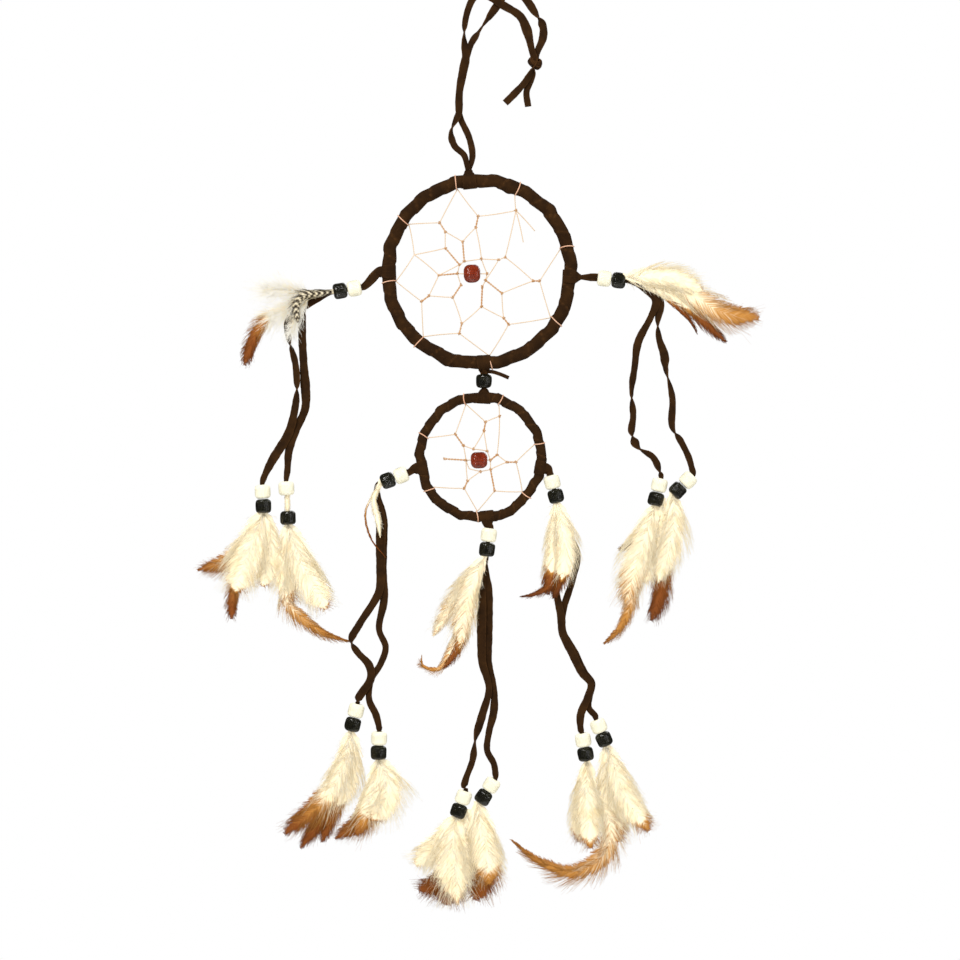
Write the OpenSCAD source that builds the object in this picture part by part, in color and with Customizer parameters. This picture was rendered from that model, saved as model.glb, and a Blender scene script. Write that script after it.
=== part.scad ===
// Two-hoop dream catcher on a suede hanger, with five feathered pendants.
// +Z is up, the front faces -Y, and the origin is the point where the hanger goes over its peg.
// Every place in the lists below is [across, up] from the centre of the large hoop.

/* [Hoops] */
// Outer diameter of the large hoop over its wrapping
large_hoop_d = 120; // [116:0.5:122]
// Thickness of the wrapped large hoop
large_wrap_d = 8; // [7:0.1:8.4]
// Outer diameter of the small hoop over its wrapping
small_hoop_d = 80; // [78:0.5:81]
// Thickness of the wrapped small hoop
small_wrap_d = 6; // [5:0.1:6.2]
// Thickness of the suede strip wound round both hoops
wrap_wall = 1; // [0.8:0.1:1.4]

/* [Web] */
// Diameter of a single thread
thread_d = 0.9; // [0.7:0.1:1]
// Diameter of a stretch where the thread is doubled
doubled_d = 1.5; // [1.2:0.1:1.6]
// Length of a web bead along its hole
web_bead_length = 10; // [9:0.1:10.4]
// Diameter of the large web's bead
large_web_bead_d = 10.4; // [9:0.1:10.6]
// Diameter of the small web's bead
small_web_bead_d = 9.4; // [8.5:0.1:9.6]
// Diameter of a web bead's hole
web_bead_hole_d = 2.2; // [2:0.1:2.6]

/* [Pendant beads] */
// Diameter of a white or black bead
bead_d = 9.4; // [9:0.1:9.6]
// Length of a bead along its hole
bead_length = 8.5; // [8:0.1:8.6]
// Diameter of a bead's hole
bead_hole_d = 3.4; // [3.2:0.1:3.8]
// Radius of the rounding at a bead's ends
bead_round = 1.6; // [1:0.1:2]
// Distance between the middles of two beads that touch
bead_pitch = 8.8; // [8.8:0.1:9]

/* [Suede lace] */
// Thickness of the flat lace
lace_thickness = 1.3; // [1:0.1:1.4]
// Width of the lace where it is squeezed into a hole
lace_squeezed = 2.4; // [2:0.1:2.6]
// Width of the lace where it is wound round a hoop
hitch_width = 4; // [3:0.1:4.4]

/* [Feathers] */
// Thickness of a bunch of feathers
bunch_thickness = 2.4; // [2:0.1:3]

/* [Hidden] */
$fn = 48;

SUEDE = [0.20, 0.12, 0.06];
THREAD = [0.86, 0.66, 0.50];
RED_BROWN = [0.50, 0.18, 0.10];
IVORY = [0.96, 0.94, 0.87];
BLACK = [0.13, 0.14, 0.13];
CREAM = [0.96, 0.88, 0.72];
WOOD = [0.60, 0.45, 0.30];

// The peg, from the centre of the large hoop
peg = [10, 171];
large_centre = [0, 0];
small_centre = [1, -113];
large_r = (large_hoop_d - large_wrap_d) / 2;
small_r = (small_hoop_d - small_wrap_d) / 2;

// Clearance between a loop and what it goes round, and between two pieces that touch
snug = 0.15;
hair = 0.05;
// How far a top feather lies in front of the laces it covers
feather_front = -3.6;
// The two laces of a pendant lie this far in front of and behind the middle plane
lace_lift = 0.8;
// The coarse rounding of threads and of feather outlines
thread_sides = 6;
leaf_sides = 12;
// The number of sides of a lace's section
lace_sides = 8;

// Angles of the thread's ties round each hoop, anticlockwise from the right
large_ties = [104.6, 65, 15.6, -32.6, -83, -130.7, 186.4, 145.8];
small_ties = [105.5, 70.8, 13.1, -39.7, -93.4, 212.4, 159.4];

// The web of the large hoop: knots and crossings, then the stretches between them
large_knots = [
    [-24, 30], [-0.5, 34], [22.5, 37.5], [16, 9], [37, -5.5], [18, -32],
    [-12, -37.5], [-35, -18], [-39.5, 10.5],
    [-20.5, 24.5], [-10, 18.5], [-2, 27], [-20.5, 14.5], [-24.5, -2], [-30.5, -14.5],
    [-16, -15.5], [-10.5, -31.5], [1.5, -21], [15, -28], [14, -13], [33, -5.5],
    [12, 7.5], [1.5, 8], [4, -5], [-9, 6.5], [-12, 4.5], [-13.2, -1], [-11, -8],
    [5, -1], [2, -9], [34, 25], [27, 18],
];
// Hoop anchors are joined to knots here: [tie, knot]
large_spokes = [
    [0, 0], [0, 1], [1, 2], [2, 4], [3, 4], [3, 5], [4, 5], [4, 6], [5, 6], [5, 7],
    [6, 7], [6, 8], [7, 8], [7, 0],
];
large_threads = [
    [1, 2], [2, 3], [3, 20], [9, 10], [10, 11], [9, 12], [12, 8], [11, 22], [8, 13],
    [13, 14], [14, 15], [15, 16], [16, 17], [17, 18], [18, 19], [19, 20], [3, 21],
    [21, 22], [21, 23], [22, 28], [28, 23], [24, 22], [24, 25], [25, 26], [26, 27],
    [13, 25], [29, 23], [2, 30], [2, 31],
];
large_doubled = [
    [0, 9], [1, 11], [10, 24], [12, 25], [13, 26], [7, 14], [15, 27], [6, 16], [5, 18],
    [19, 23], [17, 29], [4, 20],
];

// The web of the small hoop
small_knots = [
    [-14.5, -99], [4, -91.5], [12.5, -88], [22.5, -116], [9.5, -133.5], [-9, -132],
    [-21, -114], [-9.5, -106], [3, -97], [-8, -114.8], [-3.5, -108], [5, -109.2],
    [7, -114.8], [11, -111.5], [17, -116], [7, -120.5], [1, -121.7], [-7, -127.5],
    [-6, -120],
];
small_spokes = [
    [0, 0], [0, 1], [1, 2], [2, 3], [3, 3], [3, 4], [4, 4], [4, 5], [5, 5], [6, 0],
];
small_threads = [
    [1, 2], [2, 13], [7, 9], [7, 10], [10, 11], [10, 8], [8, 11], [13, 14], [14, 15],
    [15, 16], [16, 17], [9, 17], [9, 18], [18, 16], [12, 15], [11, 12],
];
small_doubled = [
    [0, 7], [1, 8], [14, 3], [5, 17], [4, 15], [6, 9], [12, 13],
];

// A bead string is [middle of its white bead, angle that it runs at, distance to its black bead].
lu_top = [[-76, -10], 190, bead_pitch];
ru_top = [[76.5, -4], -7, bead_pitch];
sl_top = [[-47.5, -124], 201, bead_pitch];
sb_top = [[6, -160.5], -97, bead_pitch];
sr_top = [[44.6, -128.2], -75, bead_pitch];
lu_ends = [[[-132, -134], -87, bead_pitch], [[-117.5, -132], -87, 18]];
ru_ends = [[[110, -130], -104, bead_pitch], [[127.5, -127], -136, bead_pitch]];
sl_ends = [[[-75, -267.5], -103, bead_pitch], [[-61, -284.5], -91, bead_pitch]];
sb_ends = [[[-9.5, -320.5], -110, bead_pitch], [[7.5, -313], -123, bead_pitch]];
sr_ends = [[[63.5, -285.5], -80, bead_pitch], [[73, -277], -68, bead_pitch]];

// Where each pendant is tied: [hoop's centre, hoop's radius, hoop's thickness, angle]
lu_tie = [large_centre, large_r, large_wrap_d, 180];
ru_tie = [large_centre, large_r, large_wrap_d, -3];
sl_tie = [small_centre, small_r, small_wrap_d, 190];
sb_tie = [small_centre, small_r, small_wrap_d, -84];
sr_tie = [small_centre, small_r, small_wrap_d, -10];
link_tie = [large_centre, large_r, large_wrap_d, -87];
small_tie = [small_centre, small_r, small_wrap_d, 87];
hanger_tie = [large_centre, large_r, large_wrap_d, 96];
link_bead_middle = [2.9, -66.5];

// Routes of the laces: [across, up, width] at each point, from the upper end
lu_route_a = [
    [-91, -13, 2.4], [-99, -17, 4], [-108, -22, 5], [-116, -30, 5], [-116, -40, 3], [-112, -56, 4],
    [-111, -70, 2.5], [-112, -82, 4.5], [-116, -98, 5.5], [-126, -115, 5.5], [-131, -125, 4],
];
lu_route_b = [
    [-91, -12, 2.4], [-99, -15, 4], [-107, -19, 5], [-108, -33, 5], [-107, -57, 5], [-106, -70, 6],
    [-106, -83, 5], [-112, -97, 5], [-116, -109, 5], [-117, -121, 4],
];
ru_route_a = [
    [92, -6, 2.4], [101, -10, 5], [108, -17, 5.5], [105, -27, 4], [97, -43, 5], [95, -57, 4],
    [93, -73, 2], [94, -88, 3.5], [93, -98, 3], [97, -107, 3], [106, -113, 4], [110, -121, 2.5],
];
ru_route_b = [
    [92, -5, 2.4], [102, -9, 5], [110, -17, 5.5], [109, -31, 2], [110, -41, 4], [113, -50, 5.5],
    [114, -59, 3], [118, -77, 4], [118, -95, 3], [123, -103, 4], [128, -113, 4], [130, -120, 3.5],
];
sl_route_a = [
    [-62, -130.5, 2.4], [-62.5, -137, 4], [-60, -150, 6], [-60, -168, 6], [-60, -182, 5.5],
    [-61, -195, 5], [-73, -215, 4.5], [-78, -225, 3], [-74, -232, 4], [-67, -240, 5],
    [-66, -248, 5], [-71, -256, 5], [-74, -261, 3],
];
sl_route_b = [
    [-62, -129.5, 2.4], [-62, -136, 4], [-59, -150, 6], [-59, -168, 6], [-59, -182, 5.5],
    [-58, -200, 5], [-61, -218, 3.5], [-57, -229, 4], [-60, -239, 4], [-66, -249, 4],
    [-67, -261, 4], [-63, -270, 4.5], [-61, -278, 4],
];
sb_route_a = [
    [4.5, -175.5, 2.4], [2, -182, 4], [1.5, -194, 5.5], [1.5, -210, 6], [1.5, -224, 5.5],
    [2, -238, 5], [6, -254, 4], [2, -270, 5], [-2, -284, 2], [-4, -298, 4], [-8, -309, 4],
    [-9, -314, 3],
];
sb_route_b = [
    [4, -175.5, 2.4], [4, -182, 4], [5.5, -194, 5.5], [5.5, -210, 6], [5.5, -224, 5.5],
    [5.5, -238, 5], [9, -254, 4], [9, -268, 5], [6, -281, 4], [5, -292, 4], [9, -300, 4],
    [10, -306, 4],
];
sr_route_a = [
    [48.2, -142.8, 2.4], [48.5, -157, 4], [46, -176, 4], [47, -194, 4], [50, -210, 5],
    [51, -220, 5], [57, -233, 5], [63, -245, 4.5], [68, -251, 4], [66, -260, 4.5],
    [62, -270, 5], [62, -279, 4],
];
sr_route_b = [
    [48.6, -142.8, 2.4], [53, -157, 4], [60, -172, 4], [57, -188, 4], [51, -208, 4.5],
    [51, -219, 4.5], [58, -232, 5], [64, -244, 4.5], [69, -251, 4], [67, -260, 4.5],
    [67, -266, 4], [71, -271, 4],
];

// The hanger's strands, from the hitch on the hoop over the peg to the knot and the cut tails
hanger_route_a = [
    [-7, 62, 2.6], [-9, 71, 3.5], [-15, 77, 4], [-17, 85, 2.5], [-12, 98, 4], [-12, 109, 4.5],
    [-8, 131, 5], [-9, 142, 2.5], [-8, 155, 3.5], [-4, 166, 4.5], [0, 170.5, 4.5],
    [6, 168, 4.5], [14, 163, 5], [25, 156, 5], [29, 148, 6], [32, 136, 4], [34, 127, 3],
    [29, 117, 4], [22, 109, 4.5], [16, 103, 4.5],
];
hanger_route_b = [
    [-6, 62, 2.6], [-4, 71, 4], [-6, 82, 4], [-12, 96, 4], [-12, 109, 4.5], [-8, 131, 5],
    [-5, 139, 4], [0, 147, 2.5], [12, 164, 5], [17, 171.5, 5], [22, 172.5, 5], [29, 166, 5],
    [35, 157, 3], [39, 150, 5], [39, 143, 5], [35, 133, 4], [34, 127, 3], [32, 118, 4],
    [29, 110, 4], [30, 101, 4],
];

// Outlines of the feather bunches: [across, up, width] down each bunch
lu_top_leaves = [
    [[-92, -15, 4], [-110, -15, 9], [-122, -20, 20], [-133, -30, 16], [-139, -42, 12], [-143, -55, 4]],
];
ru_top_leaves = [
    [[93, -4, 4], [108, -4, 12], [128, -10, 20], [146, -20, 20], [167, -29, 6]],
    [[93, -8, 4], [112, -14, 12], [130, -24, 16], [148, -39, 5]],
];
sl_top_leaves = [
    [[-66, -134, 3], [-64, -141, 7], [-63, -150, 6], [-66, -160, 4], [-60, -172, 3]],
];
sb_top_leaves = [
    [[0.5, -181, 4], [-3, -187, 10], [-8, -202, 18], [-14, -220, 20], [-20, -235, 14], [-28, -244, 4]],
];
sr_top_leaves = [
    [[48.5, -148.5, 4], [49.5, -155, 14], [50, -168, 19], [46, -183, 17], [39, -195, 5]],
];
lu_leaves = [
    [[-131, -150, 4], [-136, -160, 13], [-144, -177, 26], [-152, -192, 22], [-156, -204, 8]],
    [[-138, -165, 8], [-152, -180, 18], [-166, -184, 6]],
    [[-116, -157, 4], [-114, -168, 13], [-107, -185, 24], [-102, -200, 24], [-97, -213, 14], [-86, -224, 3]],
];
ru_leaves = [
    [[106, -145.5, 4], [102, -158, 14], [95, -180, 17], [90, -200, 15], [80, -221, 4]],
    [[116, -138, 4], [115, -150, 11], [112, -168, 15], [111, -190, 15], [108, -210, 5]],
];
sl_leaves = [
    [[-78.5, -283, 4], [-82, -296, 13], [-90, -315, 24], [-98, -332, 26], [-107, -345, 10]],
    [[-61, -300, 4], [-62, -310, 16], [-66, -325, 22], [-74, -337, 17], [-83, -345, 5]],
];
sb_leaves = [
    [[-14.5, -335.5, 4], [-18, -345, 18], [-22, -358, 24], [-22, -371, 22], [-24, -381, 8]],
    [[-0.5, -327, 4], [-2, -340, 18], [-2, -355, 24], [1, -369, 16], [2, -380, 5]],
];
sr_leaves = [
    [[66, -301.5, 4], [67, -312, 15], [70, -330, 19], [72, -345, 18], [66, -358, 12], [48, -364, 6],
        [25, -354, 4]],
    [[78.5, -292, 4], [84, -305, 17], [91, -320, 22], [97, -334, 18], [103, -343, 8]],
];

// A direction in the plane of the hoops
function heading(angle) = [cos(angle), sin(angle)];
// A place in the plane of the hoops, at a depth from the front
function place(point, depth = 0) = [point[0] - peg[0], depth, point[1] - peg[1]];
// The middle of the hoop's tube where something is tied
function tube_middle(tie) = tie[0] + tie[1] * heading(tie[3]);
// A tie's place on the inner side of its hoop
function anchor(centre, radius, angle) = centre + radius * heading(angle);
function black_middle(beads) = beads[0] + beads[2] * heading(beads[1]);
// Where a lace enters a white bead, and where it stops inside
function entry(beads, depth) = beads[0] + (depth - bead_length / 2) * heading(beads[1]);

// One ring of a lace's section: a flat octagon across the run of the lace
function lace_ring(point, side, depth) = [
    for (i = [0 : lace_sides - 1])
        let (turn = (i + 0.5) * 360 / lace_sides)
        let (across = point[2] / 2 / cos(180 / lace_sides) * cos(turn))
        place([point[0] + across * side[0], point[1] + across * side[1]],
            depth + lace_thickness / 2 / cos(180 / lace_sides) * sin(turn))
];
// The direction across the lace at point i of its route
function across_route(route, i) =
    let (before = route[max(i - 1, 0)], after = route[min(i + 1, len(route) - 1)])
    let (run = [after[0] - before[0], after[1] - before[1]])
    [run[1], -run[0]] / norm(run);
// The route with its last two points inside the bead that ends it
function to_bead(route, beads) = concat(route, [
    concat(entry(beads, -0.3), [lace_squeezed]),
    concat(entry(beads, bead_length / 2), [lace_squeezed]),
]);

// A flat lace along a route, as one closed sweep
module lace(route, depth) {
    rings = len(route);
    points = [for (i = [0 : rings - 1]) each lace_ring(route[i], across_route(route, i), depth)];
    sides = [
        for (i = [0 : rings - 2], j = [0 : lace_sides - 1])
            let (k = (j + 1) % lace_sides)
            [i * lace_sides + j, i * lace_sides + k, (i + 1) * lace_sides + k, (i + 1) * lace_sides + j]
    ];
    first = [for (j = [lace_sides - 1 : -1 : 0]) j];
    last = [for (j = [0 : lace_sides - 1]) (rings - 1) * lace_sides + j];
    color(SUEDE) polyhedron(points, concat(sides, [first, last]));
}

// A drum with rounded ends and a hole, along +X from its middle
module drum(diameter, length, hole, rounding) {
    steps = 4;
    flank = length / 2 - rounding;
    outline = concat(
        [[hole / 2, -length / 2]],
        [for (i = [0 : steps]) let (a = -90 + 90 * i / steps)
            [diameter / 2 - rounding + rounding * cos(a), -flank + rounding * sin(a)]],
        [for (i = [0 : steps]) let (a = 90 * i / steps)
            [diameter / 2 - rounding + rounding * cos(a), flank + rounding * sin(a)]],
        [[hole / 2, length / 2]]
    );
    rotate([0, 90, 0]) rotate_extrude() polygon(outline);
}

// Places something that runs along +X at a point, turned to an angle in the plane of the hoops
module along(point, angle) {
    translate(place(point)) rotate([0, -angle, 0]) children();
}

module bead_at(point, angle, paint) {
    color(paint) along(point, angle) drum(bead_d, bead_length, bead_hole_d, bead_round);
}

module white_bead(beads) {
    bead_at(beads[0], beads[1], IVORY);
}

module black_bead(beads) {
    bead_at(black_middle(beads), beads[1], BLACK);
}

module end_whites(ends) {
    for (beads = ends) white_bead(beads);
}

module end_blacks(ends) {
    for (beads = ends) black_bead(beads);
}

// The hidden round core of a hoop
module hoop_core(centre, radius, wrap_d) {
    color(WOOD) translate(place(centre)) rotate([90, 0, 0])
        rotate_extrude($fn = 96) translate([radius, 0]) circle(d = wrap_d - 2 * wrap_wall - hair);
}

// The suede wound round a hoop, as a tube bent into a ring
module hoop_wrap(centre, radius, wrap_d) {
    color(SUEDE) translate(place(centre)) rotate([90, 0, 0])
        rotate_extrude($fn = 96) translate([radius, 0]) difference() {
            circle(d = wrap_d);
            circle(d = wrap_d - 2 * wrap_wall);
        }
}

// A band of lace round the tube of a hoop, where something is tied
module band(tie, width) {
    inner = tie[2] / 2 + snug;
    translate(place(tube_middle(tie))) rotate([0, -tie[3] - 90, 0])
        rotate([0, 90, 0]) difference() {
            cylinder(r = inner + lace_thickness, h = width, center = true);
            cylinder(r = inner, h = width + 2, center = true);
        }
}

// A round stretch of doubled lace between two points in the plane of the hoops
module stem(from, to, diameter) {
    run = to - from;
    translate(place(from)) rotate([0, 90 - atan2(run[1], run[0]), 0])
        cylinder(d = diameter, h = norm(run));
}

// The hitch of a pendant: a band round the hoop and the doubled lace through its two beads
module pendant_hitch(tie, beads) {
    out = tube_middle(tie) + (tie[2] / 2 + snug + lace_thickness * 0.85) * heading(tie[3]);
    start = beads[0] - (bead_length / 2 + hair) * heading(beads[1]);
    mouth = black_middle(beads) + (bead_length / 2 - 0.5) * heading(beads[1]);
    color(SUEDE) union() {
        band(tie, hitch_width);
        stem(out, start, lace_squeezed + 0.4);
        stem(start, mouth, bead_hole_d - 0.4);
    }
}

// A bunch of feathers, as flat lobes that follow each outline
module leaves(outlines, depth) {
    color(CREAM) for (outline = outlines, i = [0 : len(outline) - 2]) hull() {
        leaf_station(outline[i], depth);
        leaf_station(outline[i + 1], depth);
    }
}

module leaf_station(station, depth) {
    translate(place([station[0], station[1]], depth)) rotate([90, 0, 0])
        cylinder(d = station[2], h = bunch_thickness, center = true, $fn = leaf_sides);
}

// A straight stretch of thread between two points
module thread(from, to, diameter) {
    hull() {
        translate(place(from)) sphere(d = diameter, $fn = thread_sides);
        translate(place(to)) sphere(d = diameter, $fn = thread_sides);
    }
}

// A hoop's ties: the thread goes once round the wrapped tube at each one
module ties(centre, radius, wrap_d, angles) {
    for (angle = angles) translate(place(anchor(centre, radius, angle))) rotate([0, -angle, 0])
        rotate_extrude($fn = 20) translate([wrap_d / 2 + thread_d / 2 + hair, 0])
            circle(d = thread_d, $fn = thread_sides);
}

// A whole web: its ties, the threads from the ties to its knots, and those between the knots
module web(centre, radius, wrap_d, angles, knots, spokes, threads, doubled) {
    inside = radius - wrap_d / 2 - thread_d / 2 - hair;
    color(THREAD) union() {
        ties(centre, radius, wrap_d, angles);
        for (s = spokes) thread(anchor(centre, inside, angles[s[0]]), knots[s[1]], thread_d);
        for (t = threads) thread(knots[t[0]], knots[t[1]], thread_d);
        for (t = doubled) thread(knots[t[0]], knots[t[1]], doubled_d);
    }
}

module ring_large_core() {
    hoop_core(large_centre, large_r, large_wrap_d);
}

module ring_large_wrap() {
    hoop_wrap(large_centre, large_r, large_wrap_d);
}

module web_large() {
    web(large_centre, large_r, large_wrap_d, large_ties, large_knots, large_spokes,
        large_threads, large_doubled);
    // The thread through the bead
    color(THREAD) thread(large_knots[26], large_knots[28], thread_d);
}

module web_bead_large() {
    color(RED_BROWN) along([-4.3, -1], 0)
        drum(large_web_bead_d, web_bead_length, web_bead_hole_d, bead_round + 0.6);
}

module ring_small_core() {
    hoop_core(small_centre, small_r, small_wrap_d);
}

module ring_small_wrap() {
    hoop_wrap(small_centre, small_r, small_wrap_d);
}

module web_small() {
    web(small_centre, small_r, small_wrap_d, small_ties, small_knots, small_spokes,
        small_threads, small_doubled);
    color(THREAD) thread(small_knots[9], small_knots[12], thread_d);
}

module web_bead_small() {
    color(RED_BROWN) along([0, -114.8], 0)
        drum(small_web_bead_d, web_bead_length, web_bead_hole_d, bead_round + 0.6);
}

// The loop on the large hoop's lowest point, its lace through the link bead and its cut tail
module link_hitch() {
    below = large_centre - [0, large_r + large_wrap_d / 2 + snug + lace_thickness / 2];
    color(SUEDE) union() {
        band(link_tie, hitch_width);
        stem([link_bead_middle[0], below[1]], link_bead_middle - [0, bead_length / 2 - 0.5],
            bead_hole_d - 0.4);
        stem([link_bead_middle[0], below[1] - 0.5], [18, -64.4], 1.8);
    }
}

module link_bead() {
    bead_at(link_bead_middle, -90, BLACK);
}

// The loop that holds the small hoop, just below the link bead
module small_hoop_hitch() {
    color(SUEDE) band(small_tie, hitch_width);
}

module hanger_hitch() {
    top = tube_middle(hanger_tie);
    color(SUEDE) union() {
        band(hanger_tie, hitch_width);
        stem(top + [-0.6, large_wrap_d / 2 + snug + lace_thickness / 2], [-6.5, 61.6], 3.2);
    }
}

module hanger_lace_a() {
    lace(hanger_route_a, -lace_lift);
}

module hanger_lace_b() {
    lace(hanger_route_b, lace_lift);
}

// The overhand knot that joins the hanger's two ends
module hanger_knot() {
    color(SUEDE) hull() {
        translate(place([35.5, 129])) sphere(d = 5.6, $fn = 24);
        translate(place([32.5, 126.5])) sphere(d = 5, $fn = 24);
        translate(place([36.5, 125.5])) sphere(d = 4.6, $fn = 24);
    }
}

ring_large_core();
ring_large_wrap();
web_large();
web_bead_large();
ring_small_core();
ring_small_wrap();
web_small();
web_bead_small();
link_hitch();
link_bead();
small_hoop_hitch();
hanger_hitch();
hanger_lace_a();
hanger_lace_b();
hanger_knot();
// Upper left pendant
pendant_hitch(lu_tie, lu_top);  // lu_hitch
white_bead(lu_top);  // lu_top_white
black_bead(lu_top);  // lu_top_black
leaves(lu_top_leaves, feather_front);  // lu_top_feather
lace(to_bead(lu_route_a, lu_ends[0]), -lace_lift);  // lu_lace_a
lace(to_bead(lu_route_b, lu_ends[1]), lace_lift);  // lu_lace_b
end_whites(lu_ends);  // lu_end_whites
end_blacks(lu_ends);  // lu_end_blacks
leaves(lu_leaves, 0);  // lu_feathers
// Upper right pendant
pendant_hitch(ru_tie, ru_top);  // ru_hitch
white_bead(ru_top);  // ru_top_white
black_bead(ru_top);  // ru_top_black
leaves(ru_top_leaves, feather_front);  // ru_top_feather
lace(to_bead(ru_route_a, ru_ends[0]), -lace_lift);  // ru_lace_a
lace(to_bead(ru_route_b, ru_ends[1]), lace_lift);  // ru_lace_b
end_whites(ru_ends);  // ru_end_whites
end_blacks(ru_ends);  // ru_end_blacks
leaves(ru_leaves, 0);  // ru_feathers
// Left pendant of the small hoop
pendant_hitch(sl_tie, sl_top);  // sl_hitch
white_bead(sl_top);  // sl_top_white
black_bead(sl_top);  // sl_top_black
leaves(sl_top_leaves, feather_front);  // sl_top_feather
lace(to_bead(sl_route_a, sl_ends[0]), -lace_lift);  // sl_lace_a
lace(to_bead(sl_route_b, sl_ends[1]), lace_lift);  // sl_lace_b
end_whites(sl_ends);  // sl_end_whites
end_blacks(sl_ends);  // sl_end_blacks
leaves(sl_leaves, 0);  // sl_feathers
// Bottom pendant of the small hoop
pendant_hitch(sb_tie, sb_top);  // sb_hitch
white_bead(sb_top);  // sb_top_white
black_bead(sb_top);  // sb_top_black
leaves(sb_top_leaves, feather_front);  // sb_top_feather
lace(to_bead(sb_route_a, sb_ends[0]), -lace_lift);  // sb_lace_a
lace(to_bead(sb_route_b, sb_ends[1]), lace_lift);  // sb_lace_b
end_whites(sb_ends);  // sb_end_whites
end_blacks(sb_ends);  // sb_end_blacks
leaves(sb_leaves, 0);  // sb_feathers
// Right pendant of the small hoop
pendant_hitch(sr_tie, sr_top);  // sr_hitch
white_bead(sr_top);  // sr_top_white
black_bead(sr_top);  // sr_top_black
leaves(sr_top_leaves, feather_front);  // sr_top_feather
lace(to_bead(sr_route_a, sr_ends[0]), -lace_lift);  // sr_lace_a
lace(to_bead(sr_route_b, sr_ends[1]), lace_lift);  // sr_lace_b
end_whites(sr_ends);  // sr_end_whites
end_blacks(sr_ends);  // sr_end_blacks
leaves(sr_leaves, 0);  // sr_feathers
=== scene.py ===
"""Looks of a two-hoop dream catcher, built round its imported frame.

The frame holds the hoops, webs, laces, beads and feather bunches at their places. This script
gives each one its finished shape: wound suede, plied thread, rounded beads, cut laces and
feathers made of their single barbs.
"""
import logging
import math
from dataclasses import dataclass, field
from enum import Enum
from typing import Any, Sequence

import bpy
import numpy as np
from mathutils import Matrix, Vector


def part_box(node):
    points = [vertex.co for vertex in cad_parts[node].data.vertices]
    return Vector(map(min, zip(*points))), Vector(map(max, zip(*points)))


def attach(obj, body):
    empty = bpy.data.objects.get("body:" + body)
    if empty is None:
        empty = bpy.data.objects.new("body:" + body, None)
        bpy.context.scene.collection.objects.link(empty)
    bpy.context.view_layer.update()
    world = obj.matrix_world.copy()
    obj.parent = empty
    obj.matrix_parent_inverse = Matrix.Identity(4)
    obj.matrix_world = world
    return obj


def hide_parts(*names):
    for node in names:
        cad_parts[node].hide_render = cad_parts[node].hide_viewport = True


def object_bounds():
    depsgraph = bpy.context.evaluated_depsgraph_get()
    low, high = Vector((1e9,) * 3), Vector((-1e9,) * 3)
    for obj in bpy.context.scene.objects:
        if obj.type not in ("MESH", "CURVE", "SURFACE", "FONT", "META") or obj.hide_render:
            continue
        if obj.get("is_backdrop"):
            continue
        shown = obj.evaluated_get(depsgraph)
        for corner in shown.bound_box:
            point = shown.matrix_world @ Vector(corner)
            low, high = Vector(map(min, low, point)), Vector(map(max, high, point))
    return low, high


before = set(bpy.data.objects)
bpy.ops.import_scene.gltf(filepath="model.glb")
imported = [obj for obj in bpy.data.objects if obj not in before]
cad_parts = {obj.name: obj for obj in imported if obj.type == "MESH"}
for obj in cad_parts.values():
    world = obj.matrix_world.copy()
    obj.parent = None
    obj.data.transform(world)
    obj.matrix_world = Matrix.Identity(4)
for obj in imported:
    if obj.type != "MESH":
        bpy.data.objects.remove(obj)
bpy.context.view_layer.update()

LOG = logging.getLogger("dream_catcher")
MM = 0.001
# The peg that the hanger goes over, from the middle of the large hoop, in millimetres
PEG = (10.0, 171.0)
# The suede lace is cut to this width and thickness, and a bead's hole squeezes it to the other two
LACE_WIDTH = 5.2 * MM
LACE_THICKNESS = 1.2 * MM
SQUEEZED_WIDTH = 2.5 * MM
SQUEEZED_THICKNESS = 1.5 * MM
# How far the two laces of one pendant lie in front of and behind the middle plane
LACE_LIFT = 0.8 * MM
# A lace that shows less than this has turned on its side
SIDE_ON_WIDTH = 3.4 * MM
# How far inside a bead the laces and the feathers that come out of it start
LACE_ROOT = 2.2 * MM
QUILL_ROOT = 2.4 * MM
# How far the middle of a lace or a thread lies off the winding that it goes round
SNUG = 0.3 * MM
# The length of one whole turn of a thread's plies
PLY_PITCH = 2.4 * MM
# Feathers come no further forwards or backwards than this
FEATHER_DEPTH = 13.5 * MM
FRONT = np.array([0.0, -1.0, 0.0])
DOWN = np.array([0.0, 0.0, -1.0])


def spot(across: float, up: float, depth: float = 0.0) -> np.ndarray:
    """Give a place in metres from millimetres across and up from the large hoop's middle.

    Args:
        across: Distance to the right of the large hoop's middle.
        up: Distance above it.
        depth: Distance behind the middle plane.

    Returns:
        The point in the part's own frame.
    """
    return np.array([(across - PEG[0]) * MM, depth * MM, (up - PEG[1]) * MM])


def unit(vectors: np.ndarray) -> np.ndarray:
    """Scale a vector, or each one of a table, to length one."""
    return vectors / np.maximum(np.linalg.norm(vectors, axis=-1, keepdims=True), 1e-12)


def distances(points: np.ndarray) -> np.ndarray:
    """Give how far along a line each of its points is."""
    return np.concatenate([[0], np.cumsum(np.linalg.norm(np.diff(points[:, :3], axis=0), axis=1))])


def tangents(points: np.ndarray) -> np.ndarray:
    """Give the direction of a line at each of its points."""
    return unit(np.gradient(points[:, :3], axis=0))


def mix(t: np.ndarray, low: float, high: float, first: np.ndarray, last: np.ndarray) -> np.ndarray:
    """Go from the first point to the last while t goes from low to high."""
    return (high - t) / (high - low) * first + (t - low) / (high - low) * last


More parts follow.
